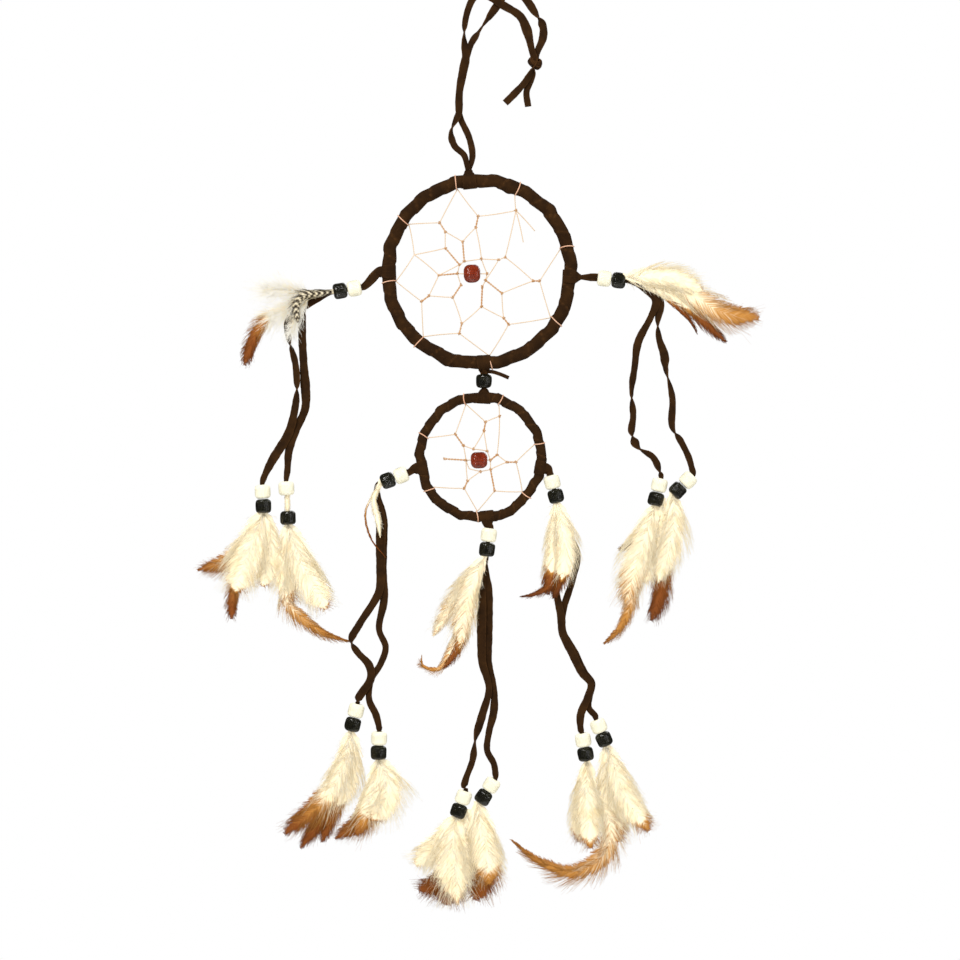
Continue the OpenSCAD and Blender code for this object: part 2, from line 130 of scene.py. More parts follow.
def smooth_line(points: Sequence[np.ndarray], step: float) -> np.ndarray:
    """Run one smooth curve through a list of points.

    Args:
        points: The points, one a row. Columns past the third are carried along.
        step: The wanted distance between two points of the curve, in metres.

    Returns:
        The curve's points at even distances, with the same columns.
    """
    points = np.asarray(points, dtype=float)
    padded = np.vstack([2 * points[0] - points[1], points, 2 * points[-1] - points[-2]])
    pieces = []
    for i in range(len(points) - 1):
        p = padded[i:i + 4]
        gaps = np.maximum(np.linalg.norm(np.diff(p[:, :3], axis=0), axis=1), 1e-9) ** 0.5
        k = np.concatenate([[0], np.cumsum(gaps)])
        t = np.linspace(k[1], k[2], 24, endpoint=False)[:, None]
        a = [mix(t, k[j], k[j + 1], p[j], p[j + 1]) for j in range(3)]
        b = [mix(t, k[j], k[j + 2], a[j], a[j + 1]) for j in range(2)]
        pieces.append(mix(t, k[1], k[2], b[0], b[1]))
    dense = np.vstack([*pieces, padded[-2]])
    lengths = distances(dense)
    even = np.linspace(0, lengths[-1], max(int(round(lengths[-1] / step)), 2) + 1)
    return np.column_stack([np.interp(even, lengths, column) for column in dense.T])


def ripple(along: np.ndarray, wave: float, seed: int) -> np.ndarray:
    """Give a smooth uneven value between about -1 and 1 along a length.

    Args:
        along: Distances in metres.
        wave: The length of the longest wave, in metres.
        seed: Picks the pattern.

    Returns:
        One value for each distance.
    """
    rng = np.random.default_rng(seed)
    total = np.zeros_like(along)
    for k in range(1, 5):
        total += np.sin(along * math.tau * k / wave * rng.uniform(0.8, 1.2) + rng.uniform(0, math.tau)) / k
    return total / 2


def new_object(name: str, data: Any) -> bpy.types.Object:
    """Put an object with the given data in the scene."""
    made = bpy.data.objects.new(name, data)
    bpy.context.scene.collection.objects.link(made)
    return made


def read_points(mesh: bpy.types.Mesh) -> np.ndarray:
    """Read the corners of a mesh, one a row."""
    flat = np.empty(len(mesh.vertices) * 3)
    mesh.vertices.foreach_get("co", flat)
    return flat.reshape(-1, 3)


def put_mark(mesh: bpy.types.Mesh, name: str, values: np.ndarray) -> None:
    """Store a named value for each corner of a mesh, for its finish to read."""
    mesh.attributes.new(name, "FLOAT", "POINT").data.foreach_set("value", values.astype(np.float32))


class Pile:
    """Collects swept surfaces and turns them into one closed mesh."""

    def __init__(self) -> None:
        """Start with nothing in the pile."""
        self.points: list[np.ndarray] = []
        self.faces: list[list[int]] = []
        self.marks: dict[str, list[np.ndarray]] = {}
        self.size = 0

    def add(self, rings: np.ndarray, **marks: Any) -> None:
        """Add sweeps that all have the same number of rings and sides.

        Args:
            rings: Points as (sweeps, rings, sides, 3), or without the first axis for one sweep.
                Each ring turns right-handed about the sweep's own direction.
            marks: Named values for the finish to read, of any shape that fits (sweeps, rings, sides).
        """
        rings = rings.reshape(-1, *rings.shape[-3:])
        sweeps, count, sides = rings.shape[:3]
        index = self.size + np.arange(sweeps * count * sides).reshape(sweeps, count, sides)
        after = np.roll(index, -1, axis=2)
        walls = np.stack([index[:, :-1], after[:, :-1], after[:, 1:], index[:, 1:]], axis=-1)
        self.faces += walls.reshape(-1, 4).tolist()
        self.faces += index[:, 0, ::-1].tolist()
        self.faces += index[:, -1].tolist()
        self.points.append(rings.reshape(-1, 3))
        for name, value in marks.items():
            self.marks.setdefault(name, []).append(np.broadcast_to(value, index.shape).reshape(-1))
        self.size += index.size

    def strip(self, line: np.ndarray, facing: np.ndarray, width: Any, thickness: Any, sides: int = 14,
              edge: float = 1.0) -> None:
        """Sweep a flat strip with rounded edges.

        Args:
            line: The middle of the strip.
            facing: The direction that its flat side faces, for all or at each point.
            width: Its full width, for all or at each point.
            thickness: Its full thickness, for all or at each point.
            sides: The number of points round its section.
            edge: How strongly its cut edges are marked, from 0 to 1.
        """
        run = tangents(line)
        facing = unit(facing - (facing * run).sum(axis=1, keepdims=True) * run)
        across = np.cross(facing, run)
        turn = (np.arange(sides) + 0.5) * math.tau / sides
        flat = np.sign(np.cos(turn)) * np.abs(np.cos(turn)) ** 0.45
        thick = np.sign(np.sin(turn)) * np.abs(np.sin(turn)) ** 0.6
        width, thickness = (np.broadcast_to(size, len(line))[:, None, None] for size in (width, thickness))
        rings = (line[:, None] + across[:, None] * flat[:, None] * width / 2
                 + facing[:, None] * thick[:, None] * thickness / 2)
        self.add(rings, edge=np.clip((np.abs(flat) - 0.78) / 0.22, 0, 1) * edge)

    def tube(self, line: np.ndarray, radius: Any, sides: int = 8, plies: int = 1, **marks: Any) -> None:
        """Sweep a round section along a line, with the grooves of its twisted plies.

        Args:
            line: The middle of the tube.
            radius: Its radius, for all or at each point.
            sides: The number of points round it.
            plies: How many plies show round it.
            marks: Named values for the finish to read.
        """
        run = tangents(line)
        side = np.cross(run, FRONT)
        weak = np.linalg.norm(side, axis=1) < 0.2
        side[weak] = np.cross(run[weak], -DOWN)
        side = unit(side)
        other = np.cross(run, side)
        turn = np.arange(sides) * math.tau / sides
        reach = np.broadcast_to(radius, len(line))[:, None] * np.ones(sides)
        if plies > 1:
            twist = distances(line)[:, None] / PLY_PITCH * math.tau
            reach = reach * (1 + 0.16 * np.cos(plies * (turn - twist)))
        rings = (line[:, None] + side[:, None] * (reach * np.cos(turn))[..., None]
                 + other[:, None] * (reach * np.sin(turn))[..., None])
        self.add(rings, **marks)

    def build(self, name: str) -> bpy.types.Object:
        """Make one smooth object of all that was added, at the origin."""
        mesh = bpy.data.meshes.new(name)
        mesh.from_pydata(np.vstack(self.points).tolist(), [], self.faces)
        for label, values in self.marks.items():
            put_mark(mesh, label, np.concatenate(values))
        mesh.polygons.foreach_set("use_smooth", [True] * len(mesh.polygons))
        mesh.update()
        return new_object(name, mesh)


# ---------- Finishes ----------
class Flow:
    """A shader socket that takes part in plain arithmetic."""

    def __init__(self, tree: bpy.types.NodeTree, socket: bpy.types.NodeSocket) -> None:
        """Hold one output socket of a tree."""
        self.tree = tree
        self.socket = socket

    def _math(self, operation: str, *values: Any) -> "Flow":
        """Add one Math node."""
        made = add_node(self.tree, "Math", dict(enumerate(values)), operation=operation)
        return Flow(self.tree, made.outputs[0])

    def __add__(self, other: Any) -> "Flow":
        """Add."""
        return self._math("ADD", self, other)

    def __sub__(self, other: Any) -> "Flow":
        """Subtract."""
        return self._math("SUBTRACT", self, other)

    def __rsub__(self, other: Any) -> "Flow":
        """Subtract this value."""
        return self._math("SUBTRACT", other, self)

    def __mul__(self, other: Any) -> "Flow":
        """Multiply."""
        return self._math("MULTIPLY", self, other)

    def between(self, low: float, high: float) -> "Flow":
        """Stretch the stretch from low to high over 0 to 1, held at both ends."""
        made = add_node(self.tree, "MapRange", {"Value": self, "From Min": low, "From Max": high}, clamp=True)
        return Flow(self.tree, made.outputs[0])


def add_node(tree: bpy.types.NodeTree, kind: str, inputs: dict[Any, Any] | None = None,
             **settings: Any) -> bpy.types.Node:
    """Add any shader node.

    Args:
        tree: Where it goes.
        kind: The node's type, without ShaderNode.
        inputs: Values or links by socket name, identifier or number.
        settings: The node's own settings, which are set first.

    Returns:
        The new node.
    """
    made = tree.nodes.new("ShaderNode" + kind)
    for key, value in settings.items():
        setattr(made, key, value)
    for key, value in (inputs or {}).items():
        socket = made.inputs[key] if isinstance(key, int) else next(
            s for s in made.inputs if key in (s.identifier, s.name))
        if isinstance(value, Flow):
            value = value.socket
        if isinstance(value, bpy.types.NodeSocket):
            tree.links.new(value, socket)
        else:
            socket.default_value = value
    return made


class Bench:
    """Builds one material's nodes."""

    def __init__(self, name: str) -> None:
        """Start an empty material of the given name."""
        self.material = bpy.data.materials.new(name)
        self.material.use_nodes = True
        self.tree = self.material.node_tree
        self.tree.nodes.clear()
        self.place = self.flow("TexCoord", "Object")

    def flow(self, kind: str, output: str, inputs: dict[Any, Any] | None = None, **settings: Any) -> Flow:
        """Add a node and give the output with this name or identifier."""
        made = add_node(self.tree, kind, inputs, **settings)
        return Flow(self.tree, next(s for s in made.outputs if output in (s.identifier, s.name)))

    def noise(self, size: float, detail: float = 3.0, rough: float = 0.55, place: Flow | None = None) -> Flow:
        """Give noise whose lumps are about size metres across."""
        return self.flow("TexNoise", "Fac", {
            "Vector": place or self.place, "Scale": 1.0 / size, "Detail": detail, "Roughness": rough})

    def mark(self, name: str) -> Flow:
        """Read a value that the mesh carries."""
        return self.flow("Attribute", "Fac", attribute_name=name)

    def blend(self, factor: Any, first: Any, second: Any) -> Flow:
        """Mix two colours."""
        return self.flow("Mix", "Result_Color", {
            "Factor_Float": factor, "A_Color": first, "B_Color": second}, data_type="RGBA")

    def bump(self, height: Flow, distance: float, strength: float = 1.0) -> Flow:
        """Turn a height into a bumped normal, with distance in metres."""
        return self.flow("Bump", "Normal", {"Height": height, "Distance": distance, "Strength": strength})

    def finish(self, **inputs: Any) -> bpy.types.Material:
        """Join a Principled shader to the output.

        Args:
            inputs: The shader's inputs, with _ for a space in their names.

        Returns:
            The finished material.
        """
        named = {key.replace("_", " "): value for key, value in inputs.items()}
        add_node(self.tree, "OutputMaterial", {"Surface": self.flow("BsdfPrincipled", "BSDF", named)})
        return self.material


def paint(red: float, green: float, blue: float) -> tuple[float, float, float, float]:
    """Turn a screen colour of 0 to 255 into the linear colour that shaders take."""
    def straight(value: float) -> float:
        """Undo the screen curve for one channel."""
        value /= 255
        return value / 12.92 if value <= 0.04045 else ((value + 0.055) / 1.055) ** 2.4
    return (straight(red), straight(green), straight(blue), 1.0)


@dataclass(frozen=True)
class SuedeFinish:
    """Matt dark brown suede with a short nap and paler cut edges."""

    name: str = "suede"
    body: tuple = paint(56, 34, 11)
    shade: tuple = paint(38, 22, 7)
    worn: tuple = paint(104, 68, 32)

    def make(self) -> bpy.types.Material:
        """Build the material."""
        bench = Bench(self.name)
        nap = bench.noise(0.35 * MM, 4, 0.7)
        cloud = bench.noise(7 * MM, 3, 0.6)
        scuff = bench.noise(1.6 * MM, 4, 0.65)
        colour = bench.blend(cloud.between(0.35, 0.7), self.shade, self.body)
        edge = bench.mark("edge") * scuff.between(0.3, 0.62) * 0.5 + scuff.between(0.62, 0.8) * 0.4
        colour = bench.blend(edge.between(0, 1.2), colour, self.worn)
        colour = bench.blend(nap.between(0.3, 0.75) * 0.35, colour, self.shade)
        height = nap * 0.6 + scuff * 0.9
        return bench.finish(
            Base_Color=colour, Roughness=0.95, Specular_IOR_Level=0.1,
            Normal=bench.bump(height, 0.25 * MM, 0.7),
        )


@dataclass(frozen=True)
class ThreadFinish:
    """Fine waxed thread in pale peach, more orange where it is doubled."""

    name: str = "waxed_thread"
    single: tuple = paint(216, 192, 160)
    doubled: tuple = paint(188, 136, 80)
    tied: tuple = paint(212, 158, 124)

    def make(self) -> bpy.types.Material:
        """Build the material."""
        bench = Bench(self.name)
        fuzz = bench.noise(0.25 * MM, 3, 0.6)
        patches = bench.noise(6 * MM, 2, 0.5)
        tone = bench.mark("edge")
        colour = bench.blend(tone.between(0, 1), self.single, self.doubled)
        colour = bench.blend(tone.between(1, 2), colour, self.tied)
        colour = bench.blend(patches.between(0.4, 0.75) * 0.35, colour, paint(230, 212, 188))
        return bench.finish(
            Base_Color=colour, Roughness=fuzz * 0.2 + 0.42, Specular_IOR_Level=0.4,
            Normal=bench.bump(fuzz, 0.08 * MM, 0.6),
        )


@dataclass(frozen=True)
class BeadFinish:
    """A moulded bead: its colours, gloss and the unevenness of its surface."""

    name: str
    body: tuple
    stain: tuple
    gloss: float
    grain: float
    dents: float
    coat: float
    mirror: float

    def make(self) -> bpy.types.Material:
        """Build the material."""
        bench = Bench(self.name)
        cloud = bench.noise(2.4 * MM, 3, 0.6)
        grain = bench.noise(0.22 * MM, 3, 0.6)
        colour = bench.blend(cloud.between(0.38, 0.7), self.body, self.stain)
        height = grain * self.grain + cloud * self.dents
        return bench.finish(
            Base_Color=colour, Roughness=grain * 0.12 + self.gloss, Coat_Weight=self.coat,
            Coat_Roughness=0.06, Specular_IOR_Level=self.mirror, Normal=bench.bump(height, 0.3 * MM, 0.5),
        )


@dataclass(frozen=True)
class WoodFinish:
    """Plain bent wood of the hidden hoops."""

    name: str = "hoop_wood"

    def make(self) -> bpy.types.Material:
        """Build the material."""
        bench = Bench(self.name)
        grain = bench.noise(0.8 * MM, 5, 0.7)
        colour = bench.blend(grain.between(0.3, 0.7), paint(166, 128, 84), paint(120, 86, 52))
        return bench.finish(Base_Color=colour, Roughness=0.6, Normal=bench.bump(grain, 0.1 * MM))


@dataclass(frozen=True)
class FeatherFinish:
    """Fowl feather: cream vane, white down, rust tip, with fine streaks along the barbs and a faint painted
    glow.
    """

    name: str = "feather"
    cream: tuple = paint(248, 234, 198)
    down: tuple = paint(255, 252, 242)
    gold: tuple = paint(184, 128, 58)
    rust: tuple = paint(124, 66, 20)
    dark: tuple = paint(84, 42, 14)

    def make(self) -> bpy.types.Material:
        """Build the material."""
        bench = Bench(self.name)
        lines = bench.flow("CombineXYZ", "Vector", {"X": bench.mark("comb"), "Y": bench.mark("lane")})
        hair = bench.noise(0.6 * MM, 3, 0.7, lines)
        lock = bench.noise(2.0 * MM, 2, 0.5, lines)
        cloud = bench.noise(8 * MM, 3, 0.6)
        ripe = bench.mark("ripe")
        colour = bench.blend(bench.mark("downy"), self.cream, self.down)
        colour = bench.blend(cloud.between(0.48, 0.7) * 0.45, colour, paint(238, 216, 162))
        colour = bench.blend(hair.between(0.5, 0.75) * 0.22, colour, paint(222, 200, 154))
        turned = ripe + (hair - 0.5) * 0.9 + (lock - 0.5) * 0.7
        rust = bench.blend(turned.between(0.4, 0.8), self.gold, self.rust)
        colour = bench.blend(turned.between(0.14, 0.38), colour, rust)
        colour = bench.blend(turned.between(0.95, 1.6), colour, self.dark)
        colour = bench.blend(bench.mark("bar"), colour, paint(44, 34, 24))
        whole = (1.05 - bench.mark("rim") + (hair - 0.5) * 2.4 + (lock - 0.5) * 0.8).between(0.2, 0.5)
        # The emission is a painted glow: the feather's own colour lit from within, standing in for light
        # through the thin barbs and lifting their shade.
        return bench.finish(
            Base_Color=colour, Roughness=0.65, Specular_IOR_Level=0.15, Emission_Color=colour,
            Emission_Strength=0.08, Alpha=whole, Normal=bench.bump(hair + lock * 0.3, 0.2 * MM, 0.3),
        )


# Looks of the beads: body, stain, gloss, grain, dents, coat and mirror
BEAD_LOOKS = {
    "white": (paint(249, 245, 222), paint(242, 236, 208), 0.42, 0.6, 0.4, 0.0, 0.35),
    "black": (paint(12, 11, 6), paint(30, 29, 16), 0.05, 0.05, 4.0, 0.0, 0.4),
    "red": (paint(138, 46, 17), paint(98, 28, 9), 0.08, 0.04, 1.2, 0.1, 0.45),
}


class Finishes:
    """Every finish of the object, made once."""

    def __init__(self) -> None:
        """Make all the materials."""
        self.suede = SuedeFinish().make()
        self.thread = ThreadFinish().make()
        self.wood = WoodFinish().make()
        self.feather = FeatherFinish().make()
        self.beads = {
            colour: BeadFinish(f"{colour}_bead", *look).make() for colour, look in BEAD_LOOKS.items()}


def dress(piece: bpy.types.Object, material: bpy.types.Material) -> None:
    """Give a piece one material."""
    piece.data.materials.clear()
    piece.data.materials.append(material)


def settle(piece: bpy.types.Object, material: bpy.types.Material, body: str, slot: str,
           *nodes: str) -> bpy.types.Object:
    """Dress a piece and join it to the frame.

    Args:
        piece: The finished piece.
        material: Its finish.
        body: The body that it moves with.
        slot: The record's material slot. Not used.
        nodes: The nodes that it stands for.

    Returns:
        The same piece.
    """
    dress(piece, material)
    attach(piece, body)
    if nodes:
        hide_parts(*nodes)
    LOG.info("%s: %d faces on %s", piece.name, len(piece.data.polygons), body)
    return piece


# ---------- Studio ----------
@dataclass
class Studio:
    """The camera, the soft lights and the pale floor."""

    # The camera looks at this point from straight in front
    aim: np.ndarray = field(default_factory=lambda: spot(0.6, -126.9))
    # Height of what the camera takes in at the hoops
    view_height: float = 585.6 * MM
    lens: float = 100.0
    sensor: float = 36.0
    floor_drop: float = 0.42
    floor_radius: float = 0.75

    def camera(self) -> None:
        """Set up the camera."""
        data = bpy.data.cameras.new("camera")
        data.lens = self.lens
        data.sensor_width = self.sensor
        data.clip_start = 0.01
        camera = new_object("camera", data)
        reach = self.view_height * self.lens / self.sensor
        camera.location = Vector(self.aim) + Vector((0, -reach, 0))
        camera.rotation_euler = (math.pi / 2, 0, 0)
        bpy.context.scene.camera = camera
        bpy.context.scene.view_settings.view_transform = "Standard"

    def lamp(self, name: str, place: Sequence[float], size: float, power: float,
             tint: Sequence[float] = (1, 1, 1)) -> None:
        """Hang one square soft light that faces the object."""
        data = bpy.data.lights.new(name, "AREA")
        data.shape = "SQUARE"
        data.size = size
        data.energy = power
        data.color = tint
        lamp = new_object(name, data)
        lamp.location = Vector(self.aim) + Vector(place)
        lamp.rotation_euler = (-Vector(place)).to_track_quat("-Z", "Y").to_euler()

    def lights(self) -> None:
        """Light the object softly from the front and from above, on a white ground."""
        self.lamp("key_light", (-0.7, -1.2, 1.1), 0.4, 22, (1.0, 0.985, 0.96))
        self.lamp("fill_light", (1.2, -1.0, 0.1), 0.8, 7)
        self.lamp("back_light", (0.3, 1.4, 0.8), 1.0, 9)
        world = bpy.data.worlds.new("white_room")
        world.use_nodes = True
        tree = world.node_tree
        tree.nodes.clear()
        path = add_node(tree, "LightPath").outputs
        shown, ambient, mirrored = (
            add_node(tree, "Background", {"Color": tint, "Strength": power}).outputs[0]
            for tint, power in (((1, 1, 1, 1), 1.0), ((1, 0.99, 0.975, 1), 0.8), ((1, 0.97, 0.92, 1), 0.12)))
        soft = add_node(tree, "MixShader", {0: path["Is Glossy Ray"], 1: ambient, 2: mirrored}).outputs[0]
        seen = add_node(tree, "MixShader", {0: path["Is Camera Ray"], 1: soft, 2: shown}).outputs[0]
        add_node(tree, "OutputWorld", {"Surface": seen})
        bpy.context.scene.world = world

    def floor(self) -> None:
        """Lay a round pale floor well under the object."""
        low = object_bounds()[0]
        bpy.ops.object.select_all(action="DESELECT")
        bpy.ops.mesh.primitive_circle_add(
            vertices=96, radius=self.floor_radius, fill_type="NGON",
            location=(self.aim[0], 0, low[2] - self.floor_drop))
        floor = bpy.context.object
        floor.name = "floor"
        bench = Bench("pale_floor")
        cloud = bench.noise(60 * MM, 3, 0.5)
        dress(floor, bench.finish(
            Base_Color=bench.blend(cloud.between(0.3, 0.7), paint(242, 241, 238), paint(250, 249, 247)),
            Roughness=0.7))
        floor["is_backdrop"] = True

    def build(self) -> None:
        """Set up everything."""
        self.camera()
        self.lights()
        self.floor()


# ---------- Laces ----------
@dataclass
class Lace:
    """A flat suede lace that follows the route with its name.

    The lace is always cut to one width, so where less of it shows it has turned on its side.
    """

    name: str
    body: str
    lift: float
    seed: int
    # The point inside a bead's mouth where the lace starts
    start: np.ndarray | None = None
    # The middle of the bead that the lace runs into, and the direction in which it enters
    end: np.ndarray | None = None
    heading: np.ndarray | None = None
    far_end: str = "object"
    lay: str = "hanging"
    step: float = 0.9 * MM

    def points(self) -> np.ndarray:
        """List the route's points with the width shown and the share of squeezing at each."""
        rows = np.array([[*spot(a, u, self.lift / MM), w * MM, 0.0] for a, u, w in ROUTES[self.name]])
        rows[0, 4] = 1.0
        if self.start is not None:
            rows = np.vstack([[*self.start, LACE_WIDTH, 1.0], rows])
        if self.end is not None:
            inside = self.end + np.array([0, self.lift, 0])
            mouth = inside - 4.6 * MM * self.heading
            rows = np.vstack([rows, [*mouth, LACE_WIDTH, 0.9], [*inside, LACE_WIDTH, 1.0]])
        return rows

    def turns(self, shown: np.ndarray, squeeze: np.ndarray) -> tuple[np.ndarray, np.ndarray]:
        """Work out how the lace is turned at each route point from the width that it shows.

        Returns:
            The turn about its own line in radians, and its true width, at each point.
        """
        turn, width = [], []
        flips = 0
        way = 1 if self.seed % 2 else -1
        for seen, held in zip(shown, squeeze):
            side_on = bool(seen < SIDE_ON_WIDTH and held < 0.5)
            slant = math.acos(min(1.0, seen / LACE_WIDTH)) if side_on else 0.0
            turn.append(way * (flips * math.pi + slant))
            width.append(LACE_WIDTH if side_on else float(np.clip(seen, 3.9 * MM, 6.2 * MM)))
            flips += side_on
        return np.array(turn), np.array(width)

    def build(self, finishes: Finishes) -> None:
        rows = self.points()
        turn, width = self.turns(rows[:, 3], rows[:, 4])
        path = smooth_line(np.column_stack([rows[:, :3], turn, width, rows[:, 4]]), self.step)
        line, turn, width, squeeze = path[:, :3].copy(), path[:, 3], path[:, 4], np.clip(path[:, 5], 0, 1)
        along = np.arange(len(line)) * self.step
        fade = np.clip(np.minimum(along, along[::-1]) / (12 * MM), 0, 1)
        line[:, 1] += ripple(along, 60 * MM, self.seed) * 0.9 * MM * fade
        run = tangents(line)
        flat = unit(np.cross(run, np.cross(FRONT, run)))
        turn = (turn + ripple(along, 25 * MM, self.seed + 7) * 0.22 * fade)[:, None]
        facing = flat * np.cos(turn) + np.cross(flat, run) * np.sin(turn)
        width = width * (1 + 0.05 * ripple(along, 9 * MM, self.seed + 3))
        width = width * (1 - squeeze) + SQUEEZED_WIDTH * squeeze
        thick = LACE_THICKNESS * (1 + 0.1 * ripple(along, 6 * MM, self.seed + 5))
        thick = thick * (1 - squeeze) + SQUEEZED_THICKNESS * squeeze
        pile = Pile()
        pile.strip(line, facing, width, thick)
        piece = settle(pile.build(self.name + "_suede"), finishes.suede, self.body, "suede_lace", self.name)


# Routes of the laces: (across, up, width shown) from the upper end
ROUTES = {
    "lu_lace_a": [
        (-91, -13, 2.4), (-99, -17, 4), (-108, -22, 5), (-116, -30, 5), (-116, -40, 3),
        (-112, -56, 4), (-111, -70, 2.5), (-112, -82, 4.5), (-116, -98, 5.5),
        (-126, -115, 5.5), (-131, -125, 4)],
    "lu_lace_b": [
        (-91, -12, 2.4), (-99, -15, 4), (-107, -19, 5), (-108, -33, 5), (-107, -57, 5),
        (-106, -70, 6), (-106, -83, 5), (-112, -97, 5), (-116, -109, 5), (-117, -121, 4)],
    "ru_lace_a": [
        (92, -6, 2.4), (101, -10, 5), (108, -17, 5.5), (105, -27, 4), (97, -43, 5),
        (95, -57, 4), (93, -73, 2), (94, -88, 3.5), (93, -98, 3), (97, -107, 3),
        (106, -113, 4), (110, -121, 2.5)],
    "ru_lace_b": [
        (92, -5, 2.4), (102, -9, 5), (110, -17, 5.5), (109, -31, 2), (110, -41, 4),
        (113, -50, 5.5), (114, -59, 3), (118, -77, 4), (118, -95, 3), (123, -103, 4),
        (128, -113, 4), (130, -120, 3.5)],
    "sl_lace_a": [
        (-62, -130.5, 2.4), (-62.5, -137, 4), (-60, -150, 6), (-60, -168, 6), (-60, -182, 5.5),
        (-61, -195, 5), (-73, -215, 4.5), (-78, -225, 3), (-74, -232, 4), (-67, -240, 5),
        (-66, -248, 5), (-71, -256, 5), (-74, -261, 3)],
    "sl_lace_b": [
        (-62, -129.5, 2.4), (-62, -136, 4), (-59, -150, 6), (-59, -168, 6), (-59, -182, 5.5),
        (-58, -200, 5), (-61, -218, 3.5), (-57, -229, 4), (-60, -239, 4), (-66, -249, 4),
        (-67, -261, 4), (-63, -270, 4.5), (-61, -278, 4)],
    "sb_lace_a": [
        (4.5, -175.5, 2.4), (2, -182, 4), (1.5, -194, 5.5), (1.5, -210, 6), (1.5, -224, 5.5),
        (2, -238, 5), (6, -254, 4), (2, -270, 5), (-2, -284, 2), (-4, -298, 4),
        (-8, -309, 4), (-9, -314, 3)],
    "sb_lace_b": [
        (4, -175.5, 2.4), (4, -182, 4), (5.5, -194, 5.5), (5.5, -210, 6), (5.5, -224, 5.5),
        (5.5, -238, 5), (9, -254, 4), (9, -268, 5), (6, -281, 4), (5, -292, 4),
        (9, -300, 4), (10, -306, 4)],
    "sr_lace_a": [
        (48.2, -142.8, 2.4), (48.5, -157, 4), (46, -176, 4), (47, -194, 4), (50, -210, 5),
        (51, -220, 5), (57, -233, 5), (63, -245, 4.5), (68, -251, 4), (66, -260, 4.5),
        (62, -270, 5), (62, -279, 4)],
    "sr_lace_b": [
        (48.6, -142.8, 2.4), (53, -157, 4), (60, -172, 4), (57, -188, 4), (51, -208, 4.5),
        (51, -219, 4.5), (58, -232, 5), (64, -244, 4.5), (69, -251, 4), (67, -260, 4.5),
        (67, -266, 4), (71, -271, 4)],
    "hanger_lace_a": [
        (-7, 62, 2.6), (-9, 71, 3.5), (-15, 77, 4), (-17, 85, 2.5), (-12, 98, 4),
        (-12, 109, 4.5), (-8, 131, 5), (-9, 142, 2.5), (-8, 155, 3.5), (-4, 166, 4.5),
        (0, 170.5, 4.5), (6, 168, 4.5), (14, 163, 5), (25, 156, 5), (29, 148, 6),
        (32, 136, 4), (34, 127, 3), (29, 117, 4), (22, 109, 4.5), (16, 103, 4.5)],
    "hanger_lace_b": [
        (-6, 62, 2.6), (-4, 71, 4), (-6, 82, 4), (-12, 96, 4), (-12, 109, 4.5),
        (-8, 131, 5), (-5, 139, 4), (0, 147, 2.5), (12, 164, 5), (17, 171.5, 5),
        (22, 172.5, 5), (29, 166, 5), (35, 157, 3), (39, 150, 5), (39, 143, 5),
        (35, 133, 4), (34, 127, 3), (32, 118, 4), (29, 110, 4), (30, 101, 4)],
}


def middle(node: str) -> np.ndarray:
    """Give the middle of a node's box."""
    low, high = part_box(node)
    return (np.array(low) + np.array(high)) / 2


def twin_middles(node: str) -> list[np.ndarray]:
    """Give the middles of the two alike solids in one node, from left to right."""
    points = read_points(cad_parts[node].data)
    centred = points - points.mean(axis=0)
    side = centred @ np.linalg.svd(centred, full_matrices=False)[2][0] > 0
    found = [(group.min(axis=0) + group.max(axis=0)) / 2 for group in (points[side], points[~side])]
    return sorted(found, key=lambda point: point[0])


@dataclass
class Pendant:
    """One pendant's places: the beads on the hoop and those at the ends of its two laces."""

    key: str
    hoop_body: str
    # Where on the hoop its hitch is tied, in degrees
    hitch_angle: float
    seed: int

    def __post_init__(self) -> None:
        """Read the places of all its beads from the frame."""
        self.body = f"{self.key}_pendant"
        self.top_white = middle(f"{self.key}_top_white")
        self.top_black = middle(f"{self.key}_top_black")
        self.heading = unit(self.top_black - self.top_white)
        self.end_whites = twin_middles(f"{self.key}_end_whites")
        self.end_blacks = twin_middles(f"{self.key}_end_blacks")
        # The directions of the two end strings, downwards
        self.end_headings = [unit(low - high) for high, low in zip(self.end_whites, self.end_blacks)]

    def laces(self, finishes: Finishes) -> None:
        """Make both laces."""
        for side, (letter, lift) in enumerate((("a", -LACE_LIFT), ("b", LACE_LIFT))):
            mouth = self.top_black + self.heading * LACE_ROOT - FRONT * lift
            Lace(f"{self.key}_lace_{letter}", self.body, lift, self.seed + side, mouth,
                 self.end_whites[side], self.end_headings[side]).build(finishes)


PENDANTS = [
    Pendant("lu", "large_hoop", 180, 10),
    Pendant("ru", "large_hoop", -3, 21),
    Pendant("sl", "small_hoop", 190, 32),
    Pendant("sb", "small_hoop", -84, 43),
    Pendant("sr", "small_hoop", -10, 54),
]


def hanger_laces(finishes: Finishes) -> None:
    """Make the two strands of the hanger, from the hitch over the peg to the knot and the cut tails."""
    for letter, lift in (("a", -LACE_LIFT), ("b", LACE_LIFT)):
        Lace(f"hanger_lace_{letter}", "hanger", lift, 71 + ord(letter),
             far_end="bare", lay="loose").build(finishes)


# ---------- Hoops ----------
def apart(angles: np.ndarray, degrees: float) -> np.ndarray:
    """Give how far angles in radians are from one in degrees, in degrees from -180 to 180."""
    return np.degrees((angles - math.radians(degrees) + math.pi) % math.tau - math.pi)


